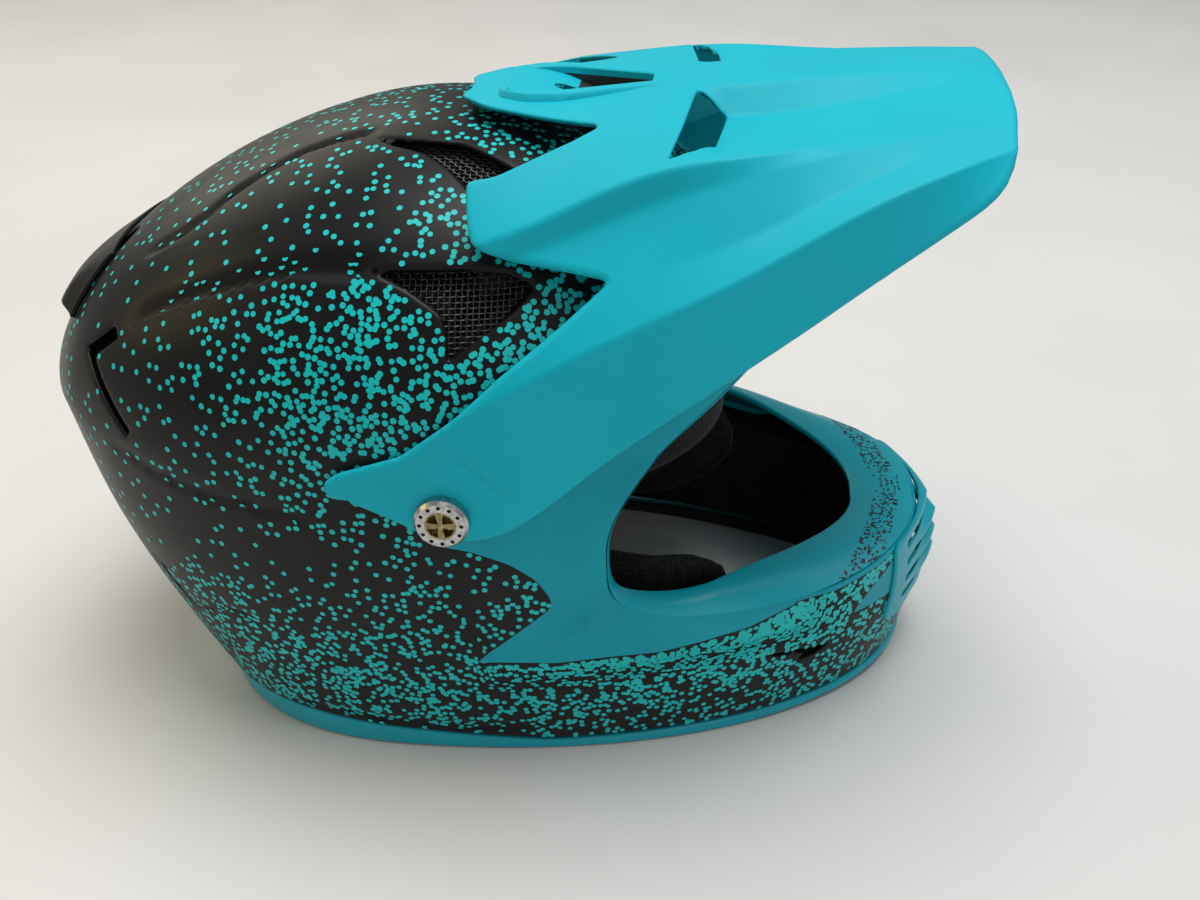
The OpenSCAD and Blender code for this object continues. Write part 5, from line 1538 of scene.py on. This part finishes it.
def neck_roll():
    """A roll of five quilts round the back of the neck, thin at its seams and at both ends."""
    rows = []
    for t in np.linspace(0, 1, 91):
        quilted = 0.86 + 0.14 * abs(math.sin(t * math.pi * ROLL_QUILTS))
        ends = min(1, 0.35 + 0.65 * math.sin(min(math.pi / 2, min(t, 1 - t) * 30 * math.pi / 5)))
        share = quilted * ends * 0.95
        swell, inward = (signed_power(f(round_turn(28)), 0.75) for f in (np.sin, np.cos))
        rows.append(form_point(ROLL_Z + ROLL_TALL * share * swell, ROLL_FROM + (360 - 2 * ROLL_FROM) * t,
                               WALL + ROLL_DEPTH + ROLL_THICK * share * inward))
    roll = swollen(mesh_object("neck_roll_skin", *bar(rows), liner_fabric), 4.5, 1.2)
    return seamed(roll)


def seamed(roll):
    """Draws the roll in along its sewn lines."""
    points = drawn_points(roll.data)
    angle = np.degrees(np.arctan2(points[:, 0], -(points[:, 1] - CROWN_Y))) % 360
    t = (angle - ROLL_FROM) / (360 - 2 * ROLL_FROM)
    seam = np.abs((t * ROLL_QUILTS + 0.5) % 1 - 0.5) * QUILT_LEN
    middle = np.array([[0, CROWN_Y, ROLL_Z]]) + (points - [0, CROWN_Y, ROLL_Z]) * [0.9, 0.9, 0]
    pull = ROLL_PULL * np.clip(1 - seam / ROLL_SEAM, 0, 1) * (t > 0.05) * (t < 0.95)
    set_points(roll, placed(points + (middle - points) * pull[:, None]))
    return roll


roll = dress(neck_roll(), "helmet", "lining", "neck_roll")

HEAD_HALF, HEAD_LEN, HEAD_Y, HEAD_Z, HEAD_TOP = 92.0, 230.0, 14.0, 125.0, 225.0
LINER_GAP, LINER_T, SEAM_T, QUILTS_PER_TURN = 0.5, 8.0, 0.8, 9


def head_point(a, e, d):
    """A point of the padding's hollow at a bearing a and an elevation e, drawn in by d."""
    a, e = np.radians(a), np.radians(e)
    return np.stack(np.broadcast_arrays((HEAD_HALF - d) * np.sin(a) * np.cos(e),
                                        HEAD_Y - (HEAD_LEN / 2 - d) * np.cos(a) * np.cos(e),
                                        HEAD_Z + (HEAD_TOP - HEAD_Z - d) * np.sin(e)), -1)


def quilt(a, e):
    """Thickness of the quilting as a share: thin along its sewn lines and at its edge."""
    u, v = (np.abs(np.sin(np.radians(angle * QUILTS_PER_TURN / 2))) for angle in (a, e))
    edge = np.clip((e + 2) / 10, 0, 1)
    return edge * (0.4 + 0.6 * np.minimum(1, 1.9 * u) ** 0.7 * np.minimum(1, 1.9 * v) ** 0.7)


def comfort_liner():
    ring = np.arange(0, 360, 2.0)
    rises = np.concatenate([np.arange(-3, 80, 2.0), [81]])
    outer = [head_point(ring, e, LINER_GAP) for e in rises]
    inner = [head_point(ring, e, LINER_GAP + SEAM_T + (LINER_T - SEAM_T) * quilt(ring, e))
             for e in rises[::-1]]
    return ring_object("quilted_liner", outer + inner, liner_fabric)


liner = dress(comfort_liner(), "helmet", "lining", "comfort_liner")
print("padding made")

# %% [markdown]
# ## Chin strap
# Flat woven straps run from the anchors down inside the chin bar and across under the helmet. The right
# one doubles back over the bars of both rings and is sewn to itself.
# %%
STRAP_Y, WEB_W, WEB_T = -10.0, 20.0, 1.8
STRAP_RUN = [(93.2, 108), (92.9, 99), (90.2, 74), (86.4, 48), (82.2, 27), (75.4, 12), (66, 3.2), (56, 0.9)]
RING_BARS, LOOP_Z, LOOP_R = (-38.0, -43.0), 3.25, 2.35
WIDE_SQUARE, THICK_SQUARE = 0.25, 0.45                 # powers of the strap's section: below 1 it is boxy


def ribbon(run, name, steps):
    """A flat strap of rounded section along a run of (x, z) places."""
    run = np.asarray(run, float)
    params = walked(run)
    path = smooth_curve(params, run, np.linspace(0, params[-1], steps))
    ahead_of = unit(np.gradient(path, axis=0))
    outward = np.stack([-ahead_of[:, 1], ahead_of[:, 0]], 1)
    w = round_turn(20)
    wide = WEB_W / 2 * signed_power(np.cos(w), WIDE_SQUARE)
    thick = WEB_T / 2 * signed_power(np.sin(w), THICK_SQUARE)
    rows = [np.column_stack([p[0] + thick * n[0], STRAP_Y + wide, p[1] + thick * n[1]])
            for p, n in zip(path, outward)]
    return facing_out(mesh_object(name, *bar(rows), strap_fabric, sharp=60))


turn_up = [(RING_BARS[0] + LOOP_R * math.sin(t), LOOP_Z - LOOP_R * math.cos(t))
           for t in np.radians(np.arange(0, 181, 22.5))]
run_right = [(-x, z) for x, z in STRAP_RUN] + [(-48, 0.9)] + turn_up + [
    (RING_BARS[1], LOOP_Z + LOOP_R), (-46.2, 4.4), (-49.5, 2.9), (-54, 2.75), (-60, 3.4)]
run_left = STRAP_RUN + [(40, 0.9), (20, 0.9), (2, 0.9)]
dress(ribbon(run_right, "chin_strap_right", 150), "helmet", "webbing", "strap_right")
dress(ribbon(run_left, "chin_strap_left", 110), "helmet", "webbing", "strap_left")

# %% [markdown]
# ## Finishes of the solid parts that stay
# The screws' faces are bright steel with a brass-coloured cross in the middle.
# %%
CROSS_R = (6.1, 5.8)


def screw_finish():
    """Steel, and brass within CROSS_R of the hinge's line."""
    mat, nt, bsdf = new_material("screw_steel")
    flat = node(nt, "ShaderNodeTexCoord").outputs["Object"]
    for operation, by in (("SUBTRACT", (0, (HINGE_Y + SHIFT_Y) * MM, HINGE_Z * MM)), ("MULTIPLY", (0, 1, 1))):
        flat = node(nt, "ShaderNodeVectorMath", {0: flat, 1: by}, operation=operation).outputs[0]
    radius = node(nt, "ShaderNodeVectorMath", {0: flat}, operation="LENGTH").outputs["Value"]
    inner = ramp(nt, radius, CROSS_R[0] * MM, CROSS_R[1] * MM)
    worn = between(nt, noise(nt, 420, 5), 0, 1)
    ring = mixed(nt, worn, (0.36, 0.36, 0.36), (0.62, 0.61, 0.59))
    brass = mixed(nt, worn, (0.14, 0.11, 0.05), (0.42, 0.35, 0.18))
    feed(nt, bsdf, {"Base Color": mixed(nt, inner, ring, brass), "Metallic": 1.0,
                    "Roughness": between(nt, noise(nt, 500), 0.18, 0.34)})
    bump(nt, bsdf, noise(nt, 900, 4), 0.35, 0.00005)
    return mat


def paint_node(name, material):
    obj = nodes[name]
    if not obj.material_slots:
        obj.data.materials.append(material)
    for slot in obj.material_slots:
        slot.material = material


screw_steel = screw_finish()
for names, material in (
        (("side_screw_right", "side_screw_left"), screw_steel),
        (("centre_screw", "strap_snap_cap", "strap_snap_stud"), dark_steel_finish),
        (("side_insert_right", "side_insert_left", "centre_insert", "strap_anchor_right",
          "strap_anchor_left", "d_ring_outer", "d_ring_inner"), steel_finish),
        (("arm_bush_right", "arm_bush_left"), plastic_and_shade_finish),
        (("arm_washer_right", "arm_washer_left"), rubber_finish),
        (("crown_foam", "chin_foam"), bead_foam)):
    for name in names:
        paint_node(name, material)
print("every solid part has its finish")

# %% [markdown]
# ## Floor and light
# The key lamp stands nearly overhead. The rear and far lamps are warm and give the dome its sheen.
# %%
MIDDLE = Vector((0, 0, 0.13))
FLOOR_HALF, FLOOR_DROP = 2500, -0.6
floor_points = [(x * FLOOR_HALF, y * FLOOR_HALF, FLOOR_DROP) for x, y in ((-1, -1), (1, -1), (1, 1), (-1, 1))]
floor_finish = finish("pale_floor", (0.66, 0.65, 0.64), (0.71, 0.70, 0.69), (0.5, 0.65), 60, 3)
mesh_object("floor", floor_points, [(0, 1, 2, 3)], floor_finish, smooth=False)


def area_light(name, at, size, power, colour=(1, 1, 1)):
    """A round lamp, in metres and watts, that faces the middle of the helmet."""
    data = bpy.data.lights.new(name, "AREA")
    data.shape = "DISK"
    data.size, data.energy, data.color = size, power, colour
    obj = bpy.data.objects.new(name, data)
    obj.location = at
    obj.rotation_euler = (MIDDLE - Vector(at)).to_track_quat("-Z", "Y").to_euler()
    bpy.context.scene.collection.objects.link(obj)


area_light("key", (0.1, -0.35, 2.4), 1.8, 51)
area_light("fill", (-1.6, -0.9, 0.9), 1.4, 4)
area_light("rear", (-0.2, 1.6, 1.0), 1.0, 4.2, (1.0, 0.78, 0.28))
area_light("far", (1.3, 1.1, 1.2), 1.6, 8.5, (1.0, 0.94, 0.72))
world = bpy.data.worlds.new("studio")
bpy.context.scene.world = world
world.use_nodes = True
world.node_tree.nodes["Background"].inputs["Color"].default_value = (0.86, 0.88, 0.9, 1)
world.node_tree.nodes["Background"].inputs["Strength"].default_value = 0.29
bpy.context.scene.view_settings.view_transform = "Standard"
